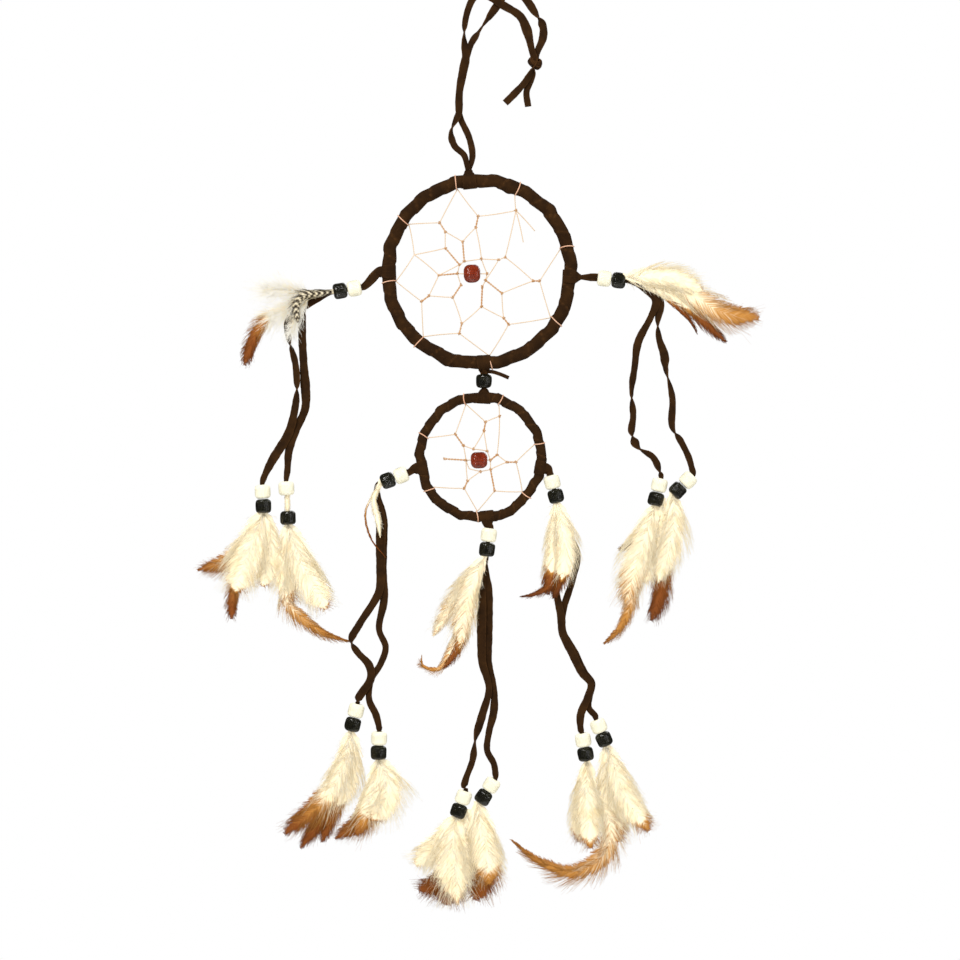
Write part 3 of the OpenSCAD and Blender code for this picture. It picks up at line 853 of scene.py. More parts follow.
@dataclass
class WrappedHoop:
    """A hoop with a suede strip wound round it in overlapping turns."""

    SEGMENTS_A_TURN = 26
    SEGMENTS_ROUND_TUBE = 36
    # How far a lump of the winding reaches round the tube, in degrees
    LUMP_REACH = 75

    node: str
    body: str
    turns: int
    corners: int
    seed: int
    # Lumps of the winding: (angle round the hoop, angle round the tube, height in mm, spread in degrees)
    lumps: Sequence[tuple[float, float, float, float]] = ()

    def __post_init__(self) -> None:
        """Read the hoop's size and place from the frame."""
        low, high = (np.array(corner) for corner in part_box(self.node))
        self.centre = (low + high) / 2
        self.tube = (high[1] - low[1]) / 2
        self.radius = (high[0] - low[0]) / 2 - self.tube
        rng = np.random.default_rng(self.seed)
        steps = np.linspace(0, math.tau, self.corners, endpoint=False)
        steps = steps + rng.uniform(-0.28, 0.28, self.corners) * math.tau / self.corners
        self.steps = np.sort(steps % math.tau)

    def middle_radius(self, angle: np.ndarray) -> np.ndarray:
        """Give the distance from the hoop's centre to the winding's middle line.

        The winding lies flat between the places where the strip was pulled tight, so the
        outline has soft corners.

        Args:
            angle: Angles round the hoop in radians.

        Returns:
            One distance for each angle.
        """
        angle = np.asarray(angle) % math.tau
        after = np.searchsorted(self.steps, angle) % self.corners
        ahead = (self.steps[after] - angle) % math.tau
        behind = (angle - self.steps[after - 1]) % math.tau
        half = (ahead + behind) / 2
        sag = self.radius * (np.cos(half) / np.cos(behind - half) - 1) * 0.85
        return self.radius + np.clip(sag + 0.45 * MM, -0.75 * MM, 0.6 * MM)

    def at(self, degrees: float) -> tuple[np.ndarray, np.ndarray, np.ndarray]:
        """Give the directions outwards and round the hoop at an angle, and the winding's middle."""
        turn = math.radians(degrees)
        out = np.array([math.cos(turn), 0, math.sin(turn)])
        run = np.array([-math.sin(turn), 0, math.cos(turn)])
        return out, run, self.centre + float(self.middle_radius(turn)) * out

    def build(self, finishes: Finishes) -> None:
        """Wind the hoop."""
        rng = np.random.default_rng(self.seed)
        bpy.ops.object.select_all(action="DESELECT")
        bpy.ops.mesh.primitive_torus_add(
            major_segments=self.turns * self.SEGMENTS_A_TURN, minor_segments=self.SEGMENTS_ROUND_TUBE,
            major_radius=self.radius, minor_radius=self.tube, location=(0, 0, 0))
        piece = bpy.context.object
        piece.name = piece.data.name = self.node + "_winding"
        mesh = piece.data
        points = read_points(mesh)
        round_hoop = np.arctan2(points[:, 1], points[:, 0])
        round_tube = np.arctan2(points[:, 2], np.hypot(points[:, 0], points[:, 1]) - self.radius)
        angle = round_hoop % math.tau
        phase = self.turns * (angle + 0.25 * np.sin(angle * 3 + 1) / self.turns) / math.tau
        phase = phase - round_tube / math.tau
        lap = np.floor(phase).astype(int) % (self.turns + 1)
        share = phase % 1.0
        lap_height = rng.uniform(-0.12, 0.12, self.turns + 2)[lap]
        lap_edge = 0.9 + rng.uniform(-0.04, 0.06, self.turns + 2)[lap]
        saw = np.where(share < lap_edge, share / lap_edge, (1 - share) / (1 - lap_edge))
        height = (saw - 0.55) * 0.55 * MM + lap_height * MM * np.sin(share * math.pi)
        for at, about, high, spread in self.lumps:
            away = (apart(angle, at) / spread) ** 2 + (apart(round_tube, about) / self.LUMP_REACH) ** 2
            height += high * MM * np.exp(-away)
        reach = self.tube + height
        ring = self.middle_radius(angle) + reach * np.cos(round_tube)
        points = self.centre + np.column_stack([
            ring * np.cos(round_hoop), -reach * np.sin(round_tube), ring * np.sin(round_hoop)])
        mesh.vertices.foreach_set("co", points.reshape(-1))
        put_mark(mesh, "edge", np.clip(1 - np.abs(share - lap_edge) / 0.07, 0, 1))
        mesh.update()
        bpy.ops.object.shade_smooth_by_angle(angle=math.radians(50))
        settle(piece, finishes.suede, self.body, "suede", self.node)


# ---------- Hitches and knots ----------
@dataclass
class Hitch:
    """A lace looped round a hoop: two turns, the bight over them and the doubled lace that leaves."""

    BAND_WIDTH = 4.4 * MM
    BAND_THICKNESS = 0.7 * MM
    STRAND_THICKNESS = 1.35 * MM
    # How far each of the two leaving strands lies from the middle plane
    STRAND_LIFT = 0.75 * MM

    name: str
    body: str
    hoop: WrappedHoop
    # Angle round the hoop where it is tied, in degrees
    angle: float
    # Where the doubled lace goes: its way points in metres
    way: Sequence[np.ndarray]
    node: str
    seed: int
    bulge: float = 1.0
    # Widths of the doubled lace along its way, in millimetres
    widths: Sequence[float] = (5.0, 4.2, 4.6, 3.0, 2.6, 2.6, 2.6)
    # How far the two turns lie from the middle
    spread: float = 2.0 * MM

    def build(self, finishes: Finishes) -> None:
        """Tie it."""
        pile = Pile()
        out, run, centre = self.hoop.at(self.angle)
        reach = self.hoop.tube + SNUG
        t = np.linspace(0, math.tau, 64)
        near = np.maximum(0, np.cos(t))
        ring = out * np.cos(t)[:, None] - FRONT * np.sin(t)[:, None]
        for k, side in enumerate((-1, 1)):
            lean = side * self.spread * (1 - 0.6 * near ** 2)
            line = centre + ring * (reach * (1 + 0.1 * near ** 3))[:, None] + run * lean[:, None]
            width = self.BAND_WIDTH * (1 + 0.12 * ripple(t * 4 * MM, 9 * MM, self.seed + k))
            pile.strip(line, ring, width, self.BAND_THICKNESS, edge=0.6)
        leave = unit(self.way[0] - centre - out * reach)
        wedge = smooth_line([
            centre + out * (reach - 1.8 * MM), centre + out * (reach + 0.6 * MM),
            centre + out * (reach + 1.8 * MM) + leave * 1.4 * MM], 0.4 * MM)
        along = np.linspace(0, 1, len(wedge))
        wide = np.interp(along, [0, 0.3, 0.65, 1], [9.2, 7.2, 4.4, 2.2]) * MM * self.bulge
        deep = np.interp(along, [0, 1], [5.6, 2.2]) * MM
        pile.strip(wedge, FRONT, np.maximum(wide, 2 * MM), deep, 16, 0.3)
        for side in (-1, 1):
            line = smooth_line([
                centre + out * (reach - 0.6 * MM) + run * side * 1.2 * MM,
                centre + out * (reach + 1.6 * MM) + run * side * 0.5 * MM,
                *(point - FRONT * side * self.STRAND_LIFT for point in self.way)], 0.6 * MM)
            along = np.linspace(0, 1, len(line))
            sway = side * 0.45 * np.sin(along * 5)[:, None]
            width = np.interp(along, np.linspace(0, 1, len(self.widths)), self.widths) * MM
            pile.strip(line, FRONT * np.cos(sway) + run * np.sin(sway), width, self.STRAND_THICKNESS)
        settle(pile.build(self.name), finishes.suede, self.body, "suede", self.node)


# How wide the doubled lace shows between the hoop and the first bead, where it is long enough to see
HITCH_WIDTHS = {
    "lu": (5.0, 5.2, 5.8, 5.2, 4.4, 2.6, 2.6, 2.6, 2.6, 2.6),
    "ru": (3.6, 2.0, 3.6, 5.0, 5.0, 4.4, 2.6, 2.6, 2.6, 2.6, 2.6),
}


def all_hitches(finishes: Finishes, large: WrappedHoop, small: WrappedHoop) -> None:
    """Tie every hitch on the two hoops."""
    for pendant in PENDANTS:
        way = [
            pendant.top_white - 5.6 * MM * pendant.heading,
            pendant.top_white,
            pendant.top_black,
            pendant.top_black + 4.0 * MM * pendant.heading,
        ]
        hoop = large if pendant.hoop_body == large.body else small
        Hitch(f"{pendant.key}_hitch_lace", pendant.hoop_body, hoop, pendant.hitch_angle, way,
              f"{pendant.key}_hitch", pendant.seed,
              widths=HITCH_WIDTHS.get(pendant.key, Hitch.widths)).build(finishes)
    bead = middle("link_bead")
    through_bead = [bead - 4 * MM * DOWN, bead + 4 * MM * DOWN]
    under_bead = [bead + 5.5 * MM * DOWN, bead + 4.6 * MM * DOWN]
    for name, body, hoop, angle, way, seed, bulge in (
            ("link_hitch", "link", large, -87, through_bead, 81, 0.6),
            ("small_hoop_hitch", "small_hoop", small, 87, under_bead, 82, 0.6),
            ("hanger_hitch", "hanger", large, 96, [spot(-6.6, 63.5), spot(-6.6, 66)], 83, 1.0)):
        Hitch(f"{name}_lace", body, hoop, angle, way, name, seed, bulge).build(finishes)


def link_tail(finishes: Finishes) -> None:
    """Lay the cut tail of the link's lace."""
    pile = Pile()
    pile.strip(smooth_line([spot(3, -60.8), spot(8, -60.9), spot(13, -62.4), spot(18.2, -64.6)], 0.5 * MM),
               FRONT, 2.3 * MM, 1.3 * MM)
    settle(pile.build("link_tail"), finishes.suede, "link", "suede")


def hanger_knot(finishes: Finishes) -> None:
    """Tie the overhand knot that joins the hanger's two ends."""
    pile = Pile()
    t = np.linspace(0, math.tau, 90)
    for size, tilt, shift in ((3.1, 0.5, -0.7), (2.9, -0.6, 0.9), (2.4, 0.1, 0.1)):
        loop = np.column_stack([
            size * 1.15 * np.cos(t), 1.9 * np.sin(t), size * 0.62 * np.sin(t + tilt) + shift]) * MM
        loop = loop @ np.array(Matrix.Rotation(tilt + 0.5, 3, "Y")).T
        pile.strip(middle("hanger_knot") + loop, unit(loop + FRONT * 0.2 * MM), 3.2 * MM, 1.7 * MM, 12)
    settle(pile.build("hanger_knot_turns"), finishes.suede, "hanger", "suede_lace", "hanger_knot")


# ---------- Webs ----------
@dataclass
class Web:
    """A web of plied thread tied to a hoop, with half hitches at its knots."""

    SINGLE_STEP = 0.5 * MM
    DOUBLED_STEP = 0.3 * MM
    # The length of one whole turn of two threads that are wound round each other
    DOUBLED_PITCH = 3.6 * MM

    name: str
    node: str
    body: str
    hoop: WrappedHoop
    # Where the thread goes round the hoop, in degrees
    ties: Sequence[float]
    knots: Sequence[tuple[float, float]]
    # Which tie runs to which knot, and which knots a single or a doubled thread joins
    spokes: Sequence[tuple[int, int]]
    threads: Sequence[tuple[int, int]]
    doubled: Sequence[tuple[int, int]]
    # Knots with an extra half hitch, at the thread's start and round the bead
    heavy: Sequence[int]
    seed: int
    thread: float = 0.29 * MM

    def build(self, finishes: Finishes) -> None:
        """Tie the whole web."""
        self.pile = Pile()
        self.rng = np.random.default_rng(self.seed)
        places = [spot(*knot) for knot in self.knots]
        for angle in self.ties:
            self.tie(angle)
        for tie, knot in self.spokes:
            out, _, centre = self.hoop.at(self.ties[tie])
            self.stretch(centre - out * (self.hoop.tube + SNUG), places[knot], 0.1)
        for first, second in self.threads:
            self.stretch(places[first], places[second], 0.15)
        for first, second in self.doubled:
            self.wound(places[first], places[second])
        for knot in sorted({k for pair in self.doubled for k in pair} | set(self.heavy)):
            self.coil(places[knot])
        settle(self.pile.build(self.name), finishes.thread, self.body, "waxed_thread", self.node)

    def lay(self, line: np.ndarray, tone: float, stout: float = 1.0) -> None:
        """Lay a thread: its tone is 0 where single, 1 where doubled and 2 where tied to the hoop."""
        self.pile.tube(line, self.thread * stout, plies=2, edge=tone)

    def tie(self, angle: float) -> None:
        """Pass the thread once round the hoop's tube."""
        out, run, centre = self.hoop.at(angle)
        t = np.linspace(math.pi, 3 * math.pi, 72)[:, None]
        lean = self.rng.uniform(-0.9, 0.9) * MM
        bow = self.rng.uniform(-0.6, 0.6) * MM
        ring = (out * np.cos(t) + FRONT * np.sin(t)) * (self.hoop.tube + SNUG)
        self.lay(centre + ring + run * (lean * np.cos(t) + bow * np.sin(t) ** 2), 2.0, 1.15)

    def stretch(self, start: np.ndarray, end: np.ndarray, tone: float) -> None:
        """Draw one thread tight between two points, with a little play."""
        length = float(np.linalg.norm(end - start))
        t = np.linspace(0, 1, max(int(length / self.SINGLE_STEP), 4))[:, None]
        play = np.cross(unit(end - start), FRONT) * self.rng.uniform(-0.02, 0.02) * length
        deep = -FRONT * self.rng.uniform(-0.012, 0.012) * length
        self.lay(start + (end - start) * t + (play + deep) * (4 * t * (1 - t)), tone)

    def wound(self, start: np.ndarray, end: np.ndarray) -> None:
        """Wind two threads round each other between two points."""
        length = float(np.linalg.norm(end - start))
        t = np.linspace(0, 1, max(int(length / self.DOUBLED_STEP), 8))[:, None]
        side = np.cross(unit(end - start), FRONT)
        turn = t * length / self.DOUBLED_PITCH * math.tau + self.rng.uniform(0, math.tau)
        for phase in (0, math.pi):
            swing = np.cos(turn + phase) * side + np.sin(turn + phase) * FRONT
            self.lay(start + (end - start) * t + swing * self.thread * 0.95, self.rng.uniform(0.75, 1.0))

    def coil(self, place: np.ndarray) -> None:
        """Wrap a half hitch round a knot."""
        t = np.linspace(0, 2.2 * math.tau, 60)[:, None]
        axis = unit(np.array([self.rng.normal(), 0, self.rng.normal()]))
        ring = (np.cross(axis, FRONT) * np.cos(t) + FRONT * np.sin(t)) * self.thread * 1.9
        self.lay(place + ring + axis * np.linspace(-0.8 * MM, 0.8 * MM, len(t))[:, None], 0.9)


LARGE_WEB = {
    "ties": (104.6, 65, 15.6, -32.6, -83, -130.7, 186.4, 145.8),
    "knots": (
        (-24, 30), (-0.5, 34), (22.5, 37.5), (16, 9), (37, -5.5), (18, -32), (-12, -37.5), (-35, -18),
        (-39.5, 10.5), (-20.5, 24.5), (-10, 18.5), (-2, 27), (-20.5, 14.5), (-24.5, -2), (-30.5, -14.5),
        (-16, -15.5), (-10.5, -31.5), (1.5, -21), (15, -28), (14, -13), (33, -5.5), (12, 7.5), (1.5, 8),
        (4, -5), (-9, 6.5), (-12, 4.5), (-13.2, -1), (-11, -8), (5, -1), (2, -9), (34, 25), (27, 18)),
    "spokes": (
        (0, 0), (0, 1), (1, 2), (2, 4), (3, 4), (3, 5), (4, 5), (4, 6), (5, 6), (5, 7), (6, 7), (6, 8),
        (7, 8), (7, 0)),
    "threads": (
        (1, 2), (2, 3), (3, 20), (9, 10), (10, 11), (9, 12), (12, 8), (11, 22), (8, 13), (13, 14),
        (14, 15), (15, 16), (16, 17), (17, 18), (18, 19), (19, 20), (3, 21), (21, 22), (21, 23),
        (22, 28), (28, 23), (24, 22), (24, 25), (25, 26), (26, 27), (13, 25), (29, 23), (2, 30),
        (2, 31), (26, 28)),
    "doubled": (
        (0, 9), (1, 11), (10, 24), (12, 25), (13, 26), (7, 14), (15, 27), (6, 16), (5, 18), (19, 23),
        (17, 29), (4, 20)),
    "heavy": (2, 3, 22, 26, 28, 21),
}
SMALL_WEB = {
    "ties": (105.5, 70.8, 13.1, -39.7, -93.4, 212.4, 159.4),
    "knots": (
        (-14.5, -99), (4, -91.5), (12.5, -88), (22.5, -116), (9.5, -133.5), (-9, -132), (-21, -114),
        (-9.5, -106), (3, -97), (-8, -114.8), (-3.5, -108), (5, -109.2), (7, -114.8), (11, -111.5),
        (17, -116), (7, -120.5), (1, -121.7), (-7, -127.5), (-6, -120)),
    "spokes": ((0, 0), (0, 1), (1, 2), (2, 3), (3, 3), (3, 4), (4, 4), (4, 5), (5, 5), (6, 0)),
    "threads": (
        (1, 2), (2, 13), (7, 9), (7, 10), (10, 11), (10, 8), (8, 11), (13, 14), (14, 15), (15, 16),
        (16, 17), (9, 17), (9, 18), (18, 16), (12, 15), (11, 12), (9, 12)),
    "doubled": ((0, 7), (1, 8), (14, 3), (5, 17), (4, 15), (6, 9), (12, 13)),
    "heavy": (2, 9, 10, 11, 12, 16),
}


# ---------- Beads ----------
class BeadKind(Enum):
    """The kinds of bead on the object: diameter, length, hole and end rounding in millimetres."""

    PONY = (9.4, 8.5, 3.4, 2.1)
    LARGE_WEB = (10.4, 10.0, 2.2, 3.4)
    SMALL_WEB = (9.4, 10.0, 2.2, 3.0)


# How uneven the surface of each colour of bead is
DENTS = {"white": 0.12 * MM, "black": 0.35 * MM, "red": 0.3 * MM}


@dataclass
class BeadMould:
    """Shapes one kind of bead once, along its own Z, and casts copies of it."""

    kind: BeadKind
    seed: int

    def __post_init__(self) -> None:
        """Model the bead by hand tools: a drum, its hole and its rounded ends."""
        diameter, length, hole, rounding = (value * MM for value in self.kind.value)
        bpy.ops.object.select_all(action="DESELECT")
        bpy.ops.mesh.primitive_cylinder_add(
            vertices=32, radius=diameter / 2, depth=length, end_fill_type="NGON", location=(0, 0, 0))
        self.master = bpy.context.object
        self.pick("FACE", lambda part: abs(part.normal.z) > 0.9)
        bpy.ops.mesh.inset(thickness=diameter / 2 - hole / 2, depth=0)
        bpy.ops.mesh.delete(type="FACE")
        bpy.ops.mesh.select_mode(type="EDGE")
        bpy.ops.mesh.select_non_manifold()
        bpy.ops.mesh.bridge_edge_loops(number_cuts=1)
        bpy.ops.object.mode_set(mode="OBJECT")
        for radius, amount, segments in ((diameter / 2, rounding, 5), (hole / 2, 0.35 * MM, 2)):
            self.pick("EDGE", lambda part, r=radius: self.on_rim(part, r, length / 2))
            bpy.ops.mesh.bevel(offset=amount, segments=segments, profile=0.5)
            bpy.ops.object.mode_set(mode="OBJECT")
        bpy.ops.object.mode_set(mode="EDIT")
        bpy.ops.mesh.select_all(action="SELECT")
        bpy.ops.mesh.normals_make_consistent(inside=False)
        bpy.ops.object.mode_set(mode="OBJECT")
        rounder = self.master.modifiers.new("rounder", "SUBSURF")
        rounder.levels = rounder.render_levels = 1
        bpy.ops.object.modifier_apply(modifier="rounder")
        bpy.ops.object.shade_smooth()

    def on_rim(self, edge: bpy.types.MeshEdge, radius: float, height: float) -> bool:
        """Tell whether an edge lies on the rim of a radius at either end."""
        ends = [self.master.data.vertices[i].co for i in edge.vertices]
        return all(abs(co.xy.length - radius) < 1e-6 and abs(abs(co.z) - height) < 1e-6 for co in ends)

    def pick(self, kind: str, wanted: Any) -> None:
        """Enter edit mode with only the wanted faces or edges selected."""
        mesh = self.master.data
        bpy.ops.object.mode_set(mode="EDIT")
        bpy.ops.mesh.select_mode(type=kind)
        bpy.ops.mesh.select_all(action="DESELECT")
        bpy.ops.object.mode_set(mode="OBJECT")
        for part in (mesh.polygons if kind == "FACE" else mesh.edges):
            part.select = bool(wanted(part))
        bpy.ops.object.mode_set(mode="EDIT")

    def cast(self, finishes: Finishes, name: str, place: np.ndarray, heading: np.ndarray, colour: str,
             body: str, node: str) -> None:
        """Copy the bead to a place, with its own dents.

        Args:
            finishes: Where its finish is found.
            name: The copy's name.
            place: Its middle.
            heading: The direction of its hole.
            colour: White, black or red.
            body: The body that it moves with.
            node: The node that it stands for.
        """
        self.seed += 1
        rng = np.random.default_rng(self.seed)
        mesh = self.master.data.copy()
        mesh.name = name
        points = read_points(mesh)
        swell = np.zeros(len(points))
        size = self.kind.value[0] * MM
        waves = 7
        for _ in range(waves):
            way = unit(rng.normal(size=3))
            swell += np.sin(points @ way / size * rng.uniform(3, 11) + rng.uniform(0, math.tau))
        reach = np.linalg.norm(points, axis=1, keepdims=True)
        points = points * (1 + swell[:, None] * DENTS[colour] / waves / np.maximum(reach, 1e-6))
        turn = np.array(Vector(heading).to_track_quat("Z", "Y").to_matrix())
        spin = np.array(Matrix.Rotation(rng.uniform(0, math.tau), 3, "Z"))
        points = points @ (turn @ spin).T + place
        mesh.vertices.foreach_set("co", points.reshape(-1))
        mesh.update()
        settle(new_object(name, mesh), finishes.beads[colour], body, f"{colour}_bead", node)

    def break_up(self) -> None:
        """Remove the master once all its copies are cast."""
        mesh = self.master.data
        bpy.data.objects.remove(self.master)
        bpy.data.meshes.remove(mesh)


def all_beads(finishes: Finishes) -> None:
    """Cast every bead of the object."""
    pony = BeadMould(BeadKind.PONY, 100)
    for pendant in PENDANTS:
        key = pendant.key
        for colour, place in (("white", pendant.top_white), ("black", pendant.top_black)):
            pony.cast(finishes, f"{key}_top_{colour}_bead", place, pendant.heading, colour,
                      pendant.hoop_body, f"{key}_top_{colour}")
        for side, letter in enumerate("ab"):
            for colour, places in (("white", pendant.end_whites), ("black", pendant.end_blacks)):
                pony.cast(finishes, f"{key}_end_{colour}_{letter}", places[side], pendant.end_headings[side],
                          colour, pendant.body, f"{key}_end_{colour}s")
    pony.cast(finishes, "link_bead_glass", middle("link_bead"), DOWN, "black", "link", "link_bead")
    pony.break_up()
    for kind, size in ((BeadKind.LARGE_WEB, "large"), (BeadKind.SMALL_WEB, "small")):
        mould = BeadMould(kind, 300)
        node = f"web_bead_{size}"
        mould.cast(finishes, f"{size}_web_bead_glass", middle(node), np.array([1.0, 0, 0]), "red",
                   f"{size}_web_bead", node)
        mould.break_up()


# ---------- Feathers ----------
@dataclass
class Feather:
    """One feather: its shaft's route and its vane.

    Sizes are in millimetres, and the route is (across, up, behind) from the quill to the tip.
    """

    route: Sequence[tuple[float, float, float]]
    left: float = 9.0
    right: float = 9.0
    # The share of the shaft that bears down, and how long the down is
    down: float = 0.4
    fluff: float = 9.0
    # Where along the shaft the rust colour starts, and how deep it gets
    rust_from: float = 1.0
    rust: float = 0.6
    # How open the vane is: 0 is whole, 1 is ragged
    ragged: float = 0.5
    bars: float = 0.0
    # Whether the shaft starts in a bead, so that the vane is pressed together there
    rooted: bool = True
    # How wide the tip is, as a share of the widest: a curl runs out to a point
    tip: float = 0.8


class FeatherGrower:
    """Grows one feather barb by barb."""

    SHAFT_STEP = 0.4 * MM
    BLADE_STEP = 1.1 * MM
    BLADE_LANES = 13
    # Half of the blade's thickness, and how high its middle stands over its edges
    BLADE_SKIN = 0.11 * MM
    BLADE_CROWN = 1.2
    # The barbs lie at this angle from the shaft, in degrees
    COMB_ANGLE = 32
    BARB_SPACING = 0.38 * MM
    BARB_WIDTH = 0.24 * MM
    FRINGE_WIDTH = 0.17 * MM
    DOWN_WIDTH = 0.2 * MM
    # How far a stray barb reaches past the tip of the shaft
    STRAY = 2.2 * MM

    def __init__(self, feather: Feather, seed: int, pile: Pile) -> None:
        """Lay the shaft.

        Args:
            feather: What to grow.
            seed: Picks its own unevenness.
            pile: Where it goes.
        """
        self.feather = feather
        self.pile = pile
        self.rng = np.random.default_rng(seed)
        route = np.array([spot(*point) for point in feather.route])
        if feather.rooted:
            route = np.vstack([route[0] - unit(route[1] - route[0]) * QUILL_ROOT, route])
        self.line = smooth_line(route, self.SHAFT_STEP)
        self.run = tangents(self.line)
        self.side = unit(np.cross(self.run, FRONT))
        self.face = np.cross(self.side, self.run)
        self.length = float(distances(self.line)[-1])
        # Fluff is all down and has no vane
        self.all_down = feather.down == 1.0

    def at(self, share: np.ndarray, rows: np.ndarray) -> np.ndarray:
        """Read rows along the shaft at shares of its length."""
        steps = np.linspace(0, 1, len(rows))
        return np.column_stack([np.interp(share, steps, column) for column in rows.T])

    def axes(self, share: np.ndarray) -> list[np.ndarray]:
        """Give the directions along, beside and out of the vane at shares of the shaft."""
        return [self.at(share, rows) for rows in (self.run, self.side, self.face)]

    def grow(self) -> None:
        """Add the shaft, the vane, its loose fringe and the down."""
        share = np.linspace(0, 1, len(self.line))
        radius = np.interp(share, [0, 0.12, 0.6, 1], [0.5, 0.34, 0.16, 0.05]) * MM
        self.pile.tube(self.line, radius, 6, ripe=self.ripeness(share)[:, None] * 0.8, downy=0.3,
                       bar=0.0, comb=0.0, lane=0.0, rim=0.0)
        if not self.all_down:
            self.blade()
        for way in (-1, 1):
            self.vane(way)
        self.fringe()
        self.down()

    def ripeness(self, share: np.ndarray) -> np.ndarray:
        """Give how rusty the feather is at shares of its length."""
        start = self.feather.rust_from
        return np.clip((share - start) / max(1 - start, 0.05), 0, 1) ** 0.5 * self.feather.rust * 1.6

    def stripes(self, place: np.ndarray, pitch: float) -> np.ndarray:
        """Give how dark the feather's cross bars are at places along it."""
        wave = 0.5 + 0.5 * np.sin(place / pitch * math.tau)
        return np.clip(wave * 1.8 + 0.15, 0, 1) * self.feather.bars

    def barbs(self, root: np.ndarray, way: np.ndarray, bend: np.ndarray, reach: np.ndarray,
              width: np.ndarray, share: np.ndarray, downy: float, steps: int, wave: float) -> None:
        """Add many barbs at once.

        Args:
            root: Their roots.
            way: The direction in which each one starts.
            bend: The direction to which each one curves.
            reach: Their lengths.
            width: Their widths at the root.
            share: Their places along the shaft, from 0 to 1.
            downy: How white and loose they are, from 0 to 1.
            steps: The number of rings in each.
            wave: How far they wave to the side, as a share of their length.
        """
        count = len(root)
        s = np.linspace(0, 1, steps)[None, :, None]
        line = root[:, None] + reach[:, None, None] * (way[:, None] * s + bend[:, None] * s ** 2)
        swing = unit(np.cross(way, self.rng.normal(size=(count, 3))))
        phase = self.rng.uniform(0, math.tau, (count, 1, 1))
        pace = self.rng.uniform(4, 10, (count, 1, 1))
        span = reach * np.linalg.norm(way + bend, axis=1)
        line = line + swing[:, None] * np.sin(s * pace + phase) * s * wave * span[:, None, None]
        line[..., 1] = FEATHER_DEPTH * np.tanh(line[..., 1] / FEATHER_DEPTH)
        run = unit(np.gradient(line, axis=1))
        across = unit(np.cross(run, self.at(share, self.face)[:, None]))
        face = np.cross(across, run)
        taper = (1 - 0.7 * s ** 2) * width[:, None, None]
        corners = [line + across * taper / 2, line - across * taper / 2, line - face * taper * 0.2]
        ripe = self.ripeness(np.clip(share[:, None] + s[..., 0] * 0.14, 0, 1))
        ripe = ripe * (1 - 0.6 * downy) + self.rng.uniform(-0.1, 0.1, (count, 1))
        bar = self.stripes(share[:, None] * self.length - s[..., 0] * 2 * MM, 3.4 * MM)
        self.pile.add(np.stack(corners, axis=2), ripe=ripe[..., None], downy=downy, bar=bar[..., None],
                      comb=self.rng.uniform(0, 0.05, (count, 1, 1)), lane=0.0, rim=0.0)

    def outline(self, share: np.ndarray) -> np.ndarray:
        """Give how wide the vane is at shares of its length, as a share of its widest."""
        tip = self.feather.tip
        if self.feather.rooted:
            shape = np.interp(share, [0, 0.04, 0.12, 0.3, 0.65, 0.85, 1],
                              [0, 0.2, 0.55, 0.84, 1, (1 + tip) / 2, tip])
        else:
            shape = np.interp(share, [0, 0.15, 0.4, 0.7, 1], [0.15, 0.7, 1, (1 + tip) / 2, tip])
        return shape * np.sqrt(np.clip(1 - share ** 12, 0.003, 1))

    def blade(self) -> None:
        """Spread the close part of the vane as one thin crowned blade, with soft wavy edges."""
        feather = self.feather
        share = np.linspace(0.0, 1.0, max(2 * self.BLADE_LANES, int(self.length / self.BLADE_STEP)))
        along = share * self.length
        lane = np.linspace(-1, 1, self.BLADE_LANES)
        shape = self.outline(share)
        sides = []
        for widest in (feather.left * MM, feather.right * MM):
            start = min(1.9 * MM, widest) if feather.rooted else 0.3 * MM
            seed = int(self.rng.integers(1 << 30))
            wobble = 1 + (0.05 + 0.07 * feather.ragged) * ripple(along, 5 * MM, seed)
            wobble = wobble + 0.05 * feather.ragged * ripple(along, 1.8 * MM, seed + 1)
            sides.append(np.maximum(0.84 * widest * shape * wobble, start * (1 - share) ** 2))
        share, along = share[:, None], along[:, None]
        half = np.where(lane < 0, sides[0][:, None], sides[1][:, None]) * np.abs(lane)
        comb = along - half / math.tan(math.radians(self.COMB_ANGLE))
        waves = ripple(comb.reshape(-1), 9 * MM, int(self.rng.integers(1 << 30))).reshape(comb.shape)
        crown = (self.BLADE_CROWN * (1 - lane ** 2) - self.BLADE_CROWN / 2) * MM
        height = (crown + 0.2 * MM * waves) * np.clip(share / 0.3, 0.2, 1)
        _, side, face = (rows[:, None] for rows in self.axes(share[:, 0]))
        sheet = (self.at(share[:, 0], self.line)[:, None] + side * (half * np.sign(lane))[..., None]
                 + face * height[..., None])
        thick = face * self.BLADE_SKIN
        rim = np.clip((np.abs(lane) - 0.3) / 0.7, 0, 1) * (0.3 + 0.7 * np.clip(share * 5, 0, 1))
        marks = {
            "ripe": self.ripeness(np.clip(share + 0.10 * np.abs(lane) - 0.04, 0, 1)), "downy": 0.12,
            "bar": self.stripes(along - half * 0.9, 3.6 * MM), "comb": comb, "lane": lane * 0.5 * MM,
            "rim": rim + np.clip((share - 0.86) / 0.14, 0, 1) * 0.7}
        for key, value in marks.items():
            value = np.broadcast_to(value, half.shape)
            marks[key] = np.concatenate([value, value[:, ::-1]], axis=1)
        self.pile.add(np.concatenate([sheet + thick, (sheet - thick)[:, ::-1]], axis=1), **marks)

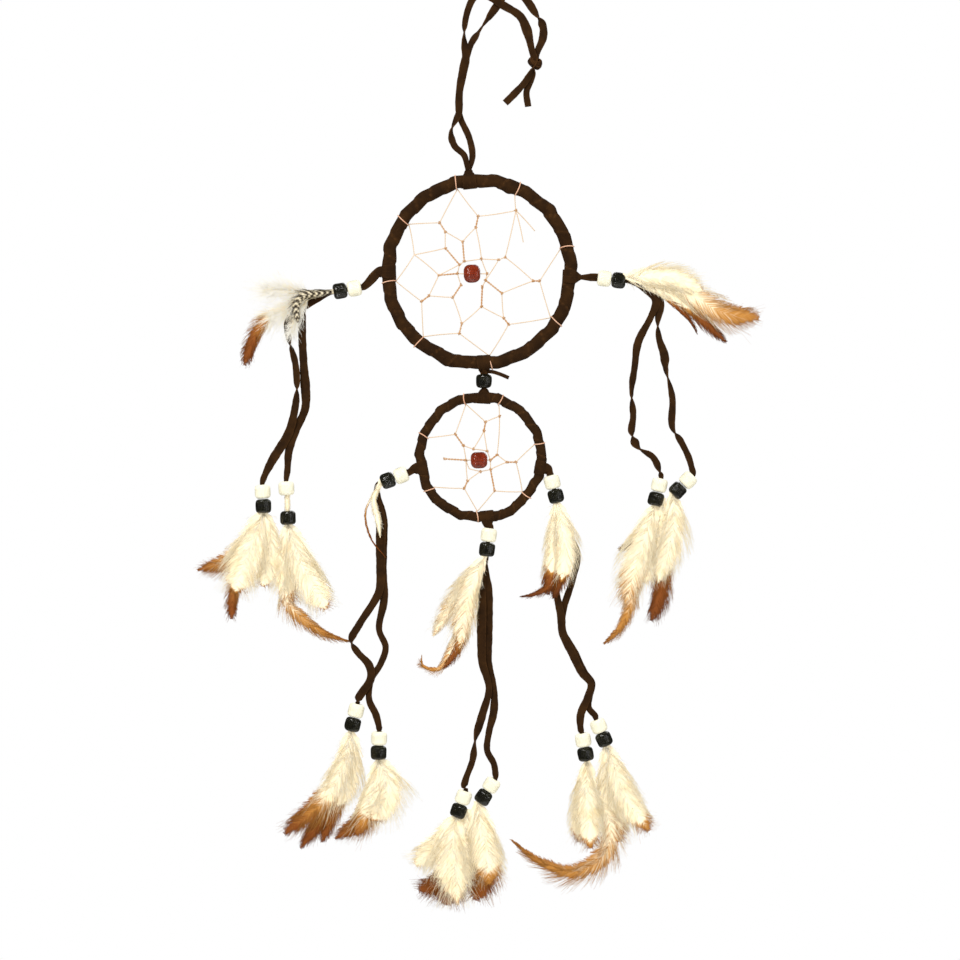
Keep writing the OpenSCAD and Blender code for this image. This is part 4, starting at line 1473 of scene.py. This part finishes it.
    def vane(self, way: int) -> None:
        """Grow one side of the vane in soft clumps."""
        feather = self.feather
        widest = (feather.left if way < 0 else feather.right) * MM
        count = int(self.length * 0.96 / self.BARB_SPACING)
        share = np.linspace(0.03, 0.99, count) + self.rng.uniform(-0.003, 0.003, count)
        rise = 0.2 if feather.rooted else 0.1
        sizes = self.rng.integers(5, 15, count)
        group = np.repeat(np.arange(count), sizes)[:count]
        clump = self.rng.normal(size=count)[group]
        middle_share = np.array([share[group == g].mean() for g in range(group[-1] + 1)])[group]
        lean = np.radians(np.interp(share, [0, rise, 0.7, 1], [16, 26, 24, 16]))
        lean = np.maximum(lean + clump * 0.08 * feather.ragged + self.rng.normal(size=count) * 0.04, 0.2)
        spread = 1 + 0.12 * clump * feather.ragged + self.rng.normal(size=count) * 0.07
        ahead = np.minimum(widest / np.tan(lean), (0.6 * (1 - share) * self.length + 0.8 * MM)) * spread
        tip = np.clip(share + ahead / self.length, 0, 0.995)
        wide = widest * self.outline(tip) * spread * (0.5 + 0.5 * np.clip(share / rise, 0, 1) ** 0.5)
        ahead, wide, ragged = ahead[:, None], wide[:, None], clump[:, None] * 0.08 * feather.ragged
        run, side, face = self.axes(share)
        lift = self.rng.normal(size=(count, 1)) * 0.06 + ragged
        pull = (middle_share - share)[:, None] * self.length * 0.4
        direction = side * (way * wide * 1.35) + run * (ahead * 0.65)
        bend = run * (ahead * 0.35 + pull) - side * (way * wide * 0.35) + face * (lift - 0.06) * wide
        width = self.BARB_WIDTH * self.rng.uniform(0.6, 1.3, count)
        root = self.at(share, self.line) + face * self.rng.uniform(-0.6, 0.9, (count, 1)) * MM
        self.barbs(root, direction, bend, np.ones(count), width, share, 0.15, 5, 0.04)

    def fringe(self) -> None:
        """Let fine loose barbs stand out along both edges of the vane."""
        feather = self.feather
        count = int(self.length / MM * 3.2 * (0.5 + feather.ragged))
        share = self.rng.uniform(0.12, 0.97, count)
        way = self.rng.choice([-1.0, 1.0], count)
        widest = np.where(way < 0, feather.left, feather.right) * MM
        lean = np.radians(self.rng.uniform(14, 62, count))
        run, side, face = self.axes(share)
        direction = run * np.cos(lean)[:, None] + side * (way * np.sin(lean))[:, None]
        direction = direction + face * self.rng.normal(size=(count, 1)) * 0.15
        bend = run * self.rng.uniform(-0.1, 0.5, (count, 1)) + face * self.rng.normal(size=(count, 1)) * 0.15
        profile = np.maximum(self.outline(np.clip(share + 0.06, 0, 1)), 0.12)
        reach = widest * profile / np.maximum(np.sin(lean), 0.5) * self.rng.uniform(0.75, 1.15, count)
        ahead = np.cos(lean) + (bend * run).sum(axis=1)
        reach = np.minimum(reach, ((1 - share) * self.length + self.STRAY) / np.maximum(ahead, 0.3))
        width = self.FRINGE_WIDTH * self.rng.uniform(0.7, 1.2, count)
        self.barbs(self.at(share, self.line), unit(direction), bend, reach, width, share, 0.3, 6, 0.06)

    def down(self) -> None:
        """Grow the down round the lower shaft."""
        feather = self.feather
        thick, most, loose = (2.6, 1100, 1.0) if self.all_down else (1.1, 310, 0.7)
        count = min(int(feather.fluff * self.length * feather.down / MM * thick), most)
        if count < 4:
            return
        share = self.rng.uniform(0.02, feather.down, count)
        around = self.rng.uniform(0, math.tau, count)[:, None]
        lean = np.radians(self.rng.uniform(15, 75, count))[:, None]
        run, side, face = self.axes(share)
        out = side * np.cos(around) + face * (0.38 * np.sin(around))
        direction = unit(run * np.cos(lean) + out * np.sin(lean))
        bend = run * self.rng.uniform(0.0, 0.5, (count, 1)) + out * self.rng.uniform(-0.3, 0.2, (count, 1))
        near = np.clip(share / 0.1, 0, 1) if feather.rooted else 1.0
        reach = feather.fluff * MM * self.rng.uniform(0.45, 1.1, count) * (0.5 + 0.5 * near)
        width = self.DOWN_WIDTH * self.rng.uniform(0.7, 1.3, count)
        self.barbs(self.at(share, self.line), direction, bend, reach, width, share, loose, 6, 0.09)


F = Feather
# The bunches: after its route, a feather has left, right, down, fluff, rust_from, rust, ragged and bars
BUNCHES = [
    ("lu_top", [
        F([(-103, -14, -2), (-112, -12, -3), (-121, -11, -3), (-129, -11, -3)], 2.5, 2.5, 1.0, 11,
          rooted=False),
        F([(-103, -17, -1), (-111, -20, -2), (-119, -24, -2), (-127, -28, -2)], 2.5, 2.5, 1.0, 12,
          rooted=False),
        F([(-105, -18, -2), (-109, -24, -3), (-112, -31, -3), (-114, -37, -3)], 2, 2, 1.0, 8, rooted=False),
        F([(-122, -22, 0), (-131, -30, -2), (-138, -42, -2), (-143, -57, -1)], 5.5, 5, 0.3, 6, 0.2, 0.75,
          rooted=False),
        F([(-88, -12, -3), (-98, -13.5, -5), (-107, -15, -6), (-111, -20, -6), (-110, -31, -6)], 3.4, 3.2,
          0.0, 0, 1.0, 0.0, 0.6, 1.0),
    ]),
    ("ru_top", [
        F([(90, -3, -2), (112, -5, -4), (131, -15, -4), (148, -25, -4), (171, -28, -3)], 9, 9, 0.4, 8,
          0.48, 0.35, 0.3, tip=0.95),
        F([(90, -5, -1), (110, -11, -2), (126, -20, -2), (138, -31, -2), (151, -43, -1)], 4, 5, 0.4, 7,
          0.55, 0.85, tip=0.7),
        F([(90, -3, -3), (106, -3, -5), (120, -5, -5), (136, -12, -4)], 8.5, 9, 0.9, 8, 0.96, 0.2),
        F([(108, -12, -1), (119, -20, -2), (128, -29, -2), (133, -38, -2)], 2.5, 2, 0.2, 3, 0.2, 1.0,
          rooted=False, tip=0.3),
    ]),
    ("sl_top", [
        F([(-60, -129, -2), (-64, -138, -4), (-62, -150, -4), (-60, -162, -4)], 2.5, 2, 0.8, 4, tip=0.3),
        F([(-60, -129, -2), (-69, -146, -3), (-66, -162, -3), (-57, -174, -3)], 0.7, 0.7, 0.2, 2, 0.3, 0.7,
          tip=0.3),
    ]),
    ("sb_top", [
        F([(3, -174, -2), (-3, -187, -4), (-8, -206, -4), (-12, -230, -3)], 8, 10, 0.7, 9, 0.15, 0.13, 1.0,
          tip=0.5),
        F([(3, -174, -1), (-8, -190, -2), (-18, -206, -2), (-28, -222, -2)], 5, 7, 0.8, 8, 0.15, 0.13, 1.0,
          tip=0.4),
        F([(-10, -212, -2), (-17, -230, -3), (-25, -242, -3), (-34, -240, -3), (-35, -234, -3)], 3, 3.5,
          0.2, 3, 0.25, 0.35, 0.9, rooted=False, tip=0.2),
        F([(-6, -206, -2), (-10, -220, -3), (-15, -232, -3), (-22, -242, -3)], 5, 5, 0.3, 5, 0.3, 0.7,
          rooted=False, tip=0.4),
    ]),
    ("sr_top", [
        F([(47.5, -141, -2), (51, -156, -4), (52, -172, -4), (50, -190, -3)], 9, 8, 0.6, 8, 0.9, 0.6),
        F([(47, -141, -1), (46, -158, -3), (45, -176, -3), (42, -197, -3)], 7, 7, 0.5, 8, 0.72, 1.0),
        F([(48, -180, -1), (43, -191, -3), (35, -196, -3), (25, -198, -2)], 3, 3.5, 0.2, 3, 0.1, 1.0, 1.0,
          rooted=False, tip=0.15),
        F([(51, -176, -1), (50, -186, -3), (45, -199, -2)], 4.5, 4.5, 0.2, 3, 0.2, 1.0, 0.9, rooted=False,
          tip=0.5),
    ]),
    ("lu", [
        F([(-117, -131, 0), (-117, -137, 0), (-117, -143, 0), (-117, -149, 0)], 1.9, 1.7, 0, 0, 1.0, 0.0, 0.3,
          rooted=False, tip=1.0),
        F([(-131.5, -147, 0), (-136, -160, -1), (-143, -178, -1), (-149, -196, 0)], 14, 14, 0.55, 11, 0.93,
          0.4),
        F([(-131.5, -147, 0), (-138, -160, 1), (-152, -176, 1), (-172, -182, 1)], 8, 9, 0.5, 9, 0.6, 0.5, 0.9,
          tip=0.3),
        F([(-131.5, -147, 0), (-129, -160, 1), (-128, -176, 1), (-132, -192, 0)], 10, 9, 0.7, 9, 0.97, 0.4),
        F([(-138, -172, 0), (-146, -186, 1), (-150, -198, 1), (-151, -212, 1)], 5, 5, 0.2, 4, 0.4, 0.7,
          rooted=False),
        F([(-116.5, -154, 0), (-112, -168, -1), (-104, -186, -1), (-93, -206, 0)], 12, 13, 0.6, 10, 0.95,
          0.3),
        F([(-116.5, -154, 0), (-118, -170, 1), (-119, -186, 1), (-114, -202, 1)], 10, 9, 0.6, 9, 0.84, 0.45),
        F([(-119, -186, 0), (-117, -201, 1), (-108, -211, 1), (-95, -220, 1), (-77, -226, 1)], 5, 6, 0.2, 5,
          0.12, 0.42, 0.9, rooted=False, tip=0.1),
    ]),
    ("ru", [
        F([(107, -143, 0), (102, -158, -1), (96, -178, -1), (89, -204, 0)], 11, 12, 0.6, 9, 0.62, 0.22, 0.8,
          tip=0.5),
        F([(96, -186, 0), (92, -204, 0), (86, -217, 0), (76, -227, 0)], 5, 5, 0.2, 4, 0.1, 0.42, rooted=False,
          tip=0.3),
        F([(118, -136, 0), (119, -150, -1), (116, -168, -1), (109, -190, 0)], 10, 11, 0.8, 10, 0.97, 0.3, 0.8,
          tip=0.4),
        F([(113, -166, 0), (112, -182, 1), (110, -198, 1), (105, -213, 0)], 8, 7, 0.2, 5, 0.15, 0.8,
          rooted=False, tip=0.7),
        F([(106, -152, 1), (98, -162, 1), (92, -166, 1), (85, -169, 1)], 4, 3.5, 0.2, 4, 0.3, 0.8, 0.9,
          rooted=False, tip=0.5),
        F([(112, -140, 0), (110, -155, 1), (106, -172, 1), (101, -190, 0)], 10, 10, 0.9, 10, 0.98, 0.2, 0.8),
    ]),
    ("sl", [
        F([(-78, -281, 0), (-82, -298, -1), (-93, -320, -1), (-119, -343, 0)], 9, 10, 0.5, 9, 0.55, 0.6, 0.9,
          tip=0.55),
        F([(-78, -281, 0), (-82, -300, 1), (-92, -326, 1), (-109, -352, 1)], 8, 8, 0.4, 9, 0.55, 0.7, 0.9,
          tip=0.4),
        F([(-78, -281, 0), (-79, -296, 0), (-82, -312, 0), (-86, -326, 0)], 11, 12, 0.8, 10, 0.97, 0.3),
        F([(-80, -305, 0), (-85, -318, 1), (-90, -332, 1), (-96, -348, 1)], 7, 7, 0.2, 6, 0.3, 0.7,
          rooted=False, tip=0.5),
        F([(-61, -298, 0), (-56, -310, -1), (-57, -322, -1), (-66, -335, 0)], 12, 12, 0.8, 10, 0.9, 0.4),
        F([(-61, -298, 0), (-61, -314, 1), (-68, -332, 1), (-88, -346, 1)], 8, 10, 0.4, 9, 0.55, 0.6, 0.8,
          tip=0.4),
        F([(-61, -298, 0), (-63, -312, 0), (-67, -326, 0), (-75, -344, 0)], 9, 10, 0.5, 8, 0.68, 0.5),
    ]),
    ("sb", [
        F([(-12, -348, 3), (-15, -360, 4), (-22, -371, 4), (-37, -378, 3)], 9, 10, 0, 0, 0.0, 0.7, 0.5,
          rooted=False, tip=0.8),
        F([(-10, -348, 3), (-13, -360, 4), (-17, -372, 4), (-20, -387, 4)], 12, 14, 0, 0, 0.0, 0.65, 0.6,
          rooted=False, tip=1.0),
        F([(2, -340, 3), (3, -354, 4), (2, -368, 4), (-2, -384, 3)], 12, 12, 0, 0, 0.2, 0.6, 0.6,
          rooted=False, tip=0.9),
        F([(-14, -333, 0), (-16, -346, -2), (-15, -360, -2), (-13, -386, -1)], 14, 17, 0.7, 11, 0.8, 0.16,
          0.9,
          tip=0.12),
        F([(-14, -333, 0), (-20, -344, 1), (-27, -352, 1), (-39, -362, 1)], 10, 11, 0.8, 9, 0.98, 0.2),
        F([(-1, -325, 0), (2, -342, -1), (5, -358, -1), (6, -374, 0)], 12, 13, 0.7, 10, 0.78, 0.4),
        F([(-7, -330, 0), (-9, -344, 1), (-10, -358, 1), (-11, -372, 1)], 11, 12, 0.9, 10, 0.98, 0.2,
          tip=0.5),
    ]),
    ("sr", [
        F([(66, -299, 0), (66, -316, -1), (67, -334, -1), (68, -352, 0)], 10, 10, 0.6, 10, 0.86, 0.4),
        F([(66, -299, 0), (63, -318, 1), (61, -334, 1), (61, -348, 1)], 7, 7, 0.5, 8, 0.88, 0.5),
        F([(70, -316, 1), (80, -338, 0), (76, -356, 0), (58, -366, 0), (38, -360, 0), (19, -346, 0)], 8, 9,
          0.2, 6, 0.15, 0.4, 0.9, rooted=False, tip=0.1),
        F([(78, -289, 0), (84, -306, -1), (92, -324, -1), (104, -341, 0)], 10, 11, 0.6, 10, 0.84, 0.4),
        F([(78, -289, 0), (79, -308, 1), (82, -328, 1), (86, -348, 1)], 10, 10, 0.5, 9, 0.84, 0.4),
    ]),
]


def all_feathers(finishes: Finishes) -> None:
    """Grow every bunch of feathers."""
    for k, (key, feathers) in enumerate(BUNCHES):
        pendant, _, top = key.partition("_")
        name, node = ("top_plumes", "top_feather") if top else ("end_plumes", "feathers")
        pile = Pile()
        for number, feather in enumerate(feathers):
            FeatherGrower(feather, (500 + k) * 100 + number, pile).grow()
        settle(pile.build(f"{pendant}_{name}"), finishes.feather, f"{pendant}_pendant", "feather",
               f"{pendant}_{node}")


# ---------- Putting it together ----------
def main() -> None:
    """Build the studio and every piece in order."""
    logging.basicConfig(level=logging.INFO, format="%(message)s")
    Studio().build()
    finishes = Finishes()
    hanger_laces(finishes)
    for pendant in PENDANTS:
        pendant.laces(finishes)
    large = WrappedHoop("ring_large_wrap", "large_hoop", 30, 17, 5, lumps=(
        (70, 180, 1.3, 3.2), (40.5, 0, 1.1, 3.0), (180, 180, 0.6, 8), (250, 0, 0.9, 5), (95, 0, 0.5, 9)))
    small = WrappedHoop("ring_small_wrap", "small_hoop", 24, 14, 6, lumps=(
        (190, 180, 0.7, 9), (-10, 180, 0.6, 9), (87, 0, 0.5, 10), (-84, 0, 0.5, 10)))
    large.build(finishes)
    small.build(finishes)
    for size in ("large", "small"):
        dress(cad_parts[f"ring_{size}_core"], finishes.wood)
    all_hitches(finishes, large, small)
    link_tail(finishes)
    hanger_knot(finishes)
    Web("web_large_thread", "web_large", "large_hoop", large, seed=11, **LARGE_WEB).build(finishes)
    Web("web_small_thread", "web_small", "small_hoop", small, seed=12, **SMALL_WEB).build(finishes)
    all_beads(finishes)
    all_feathers(finishes)


if __name__ == "__main__":
    main()
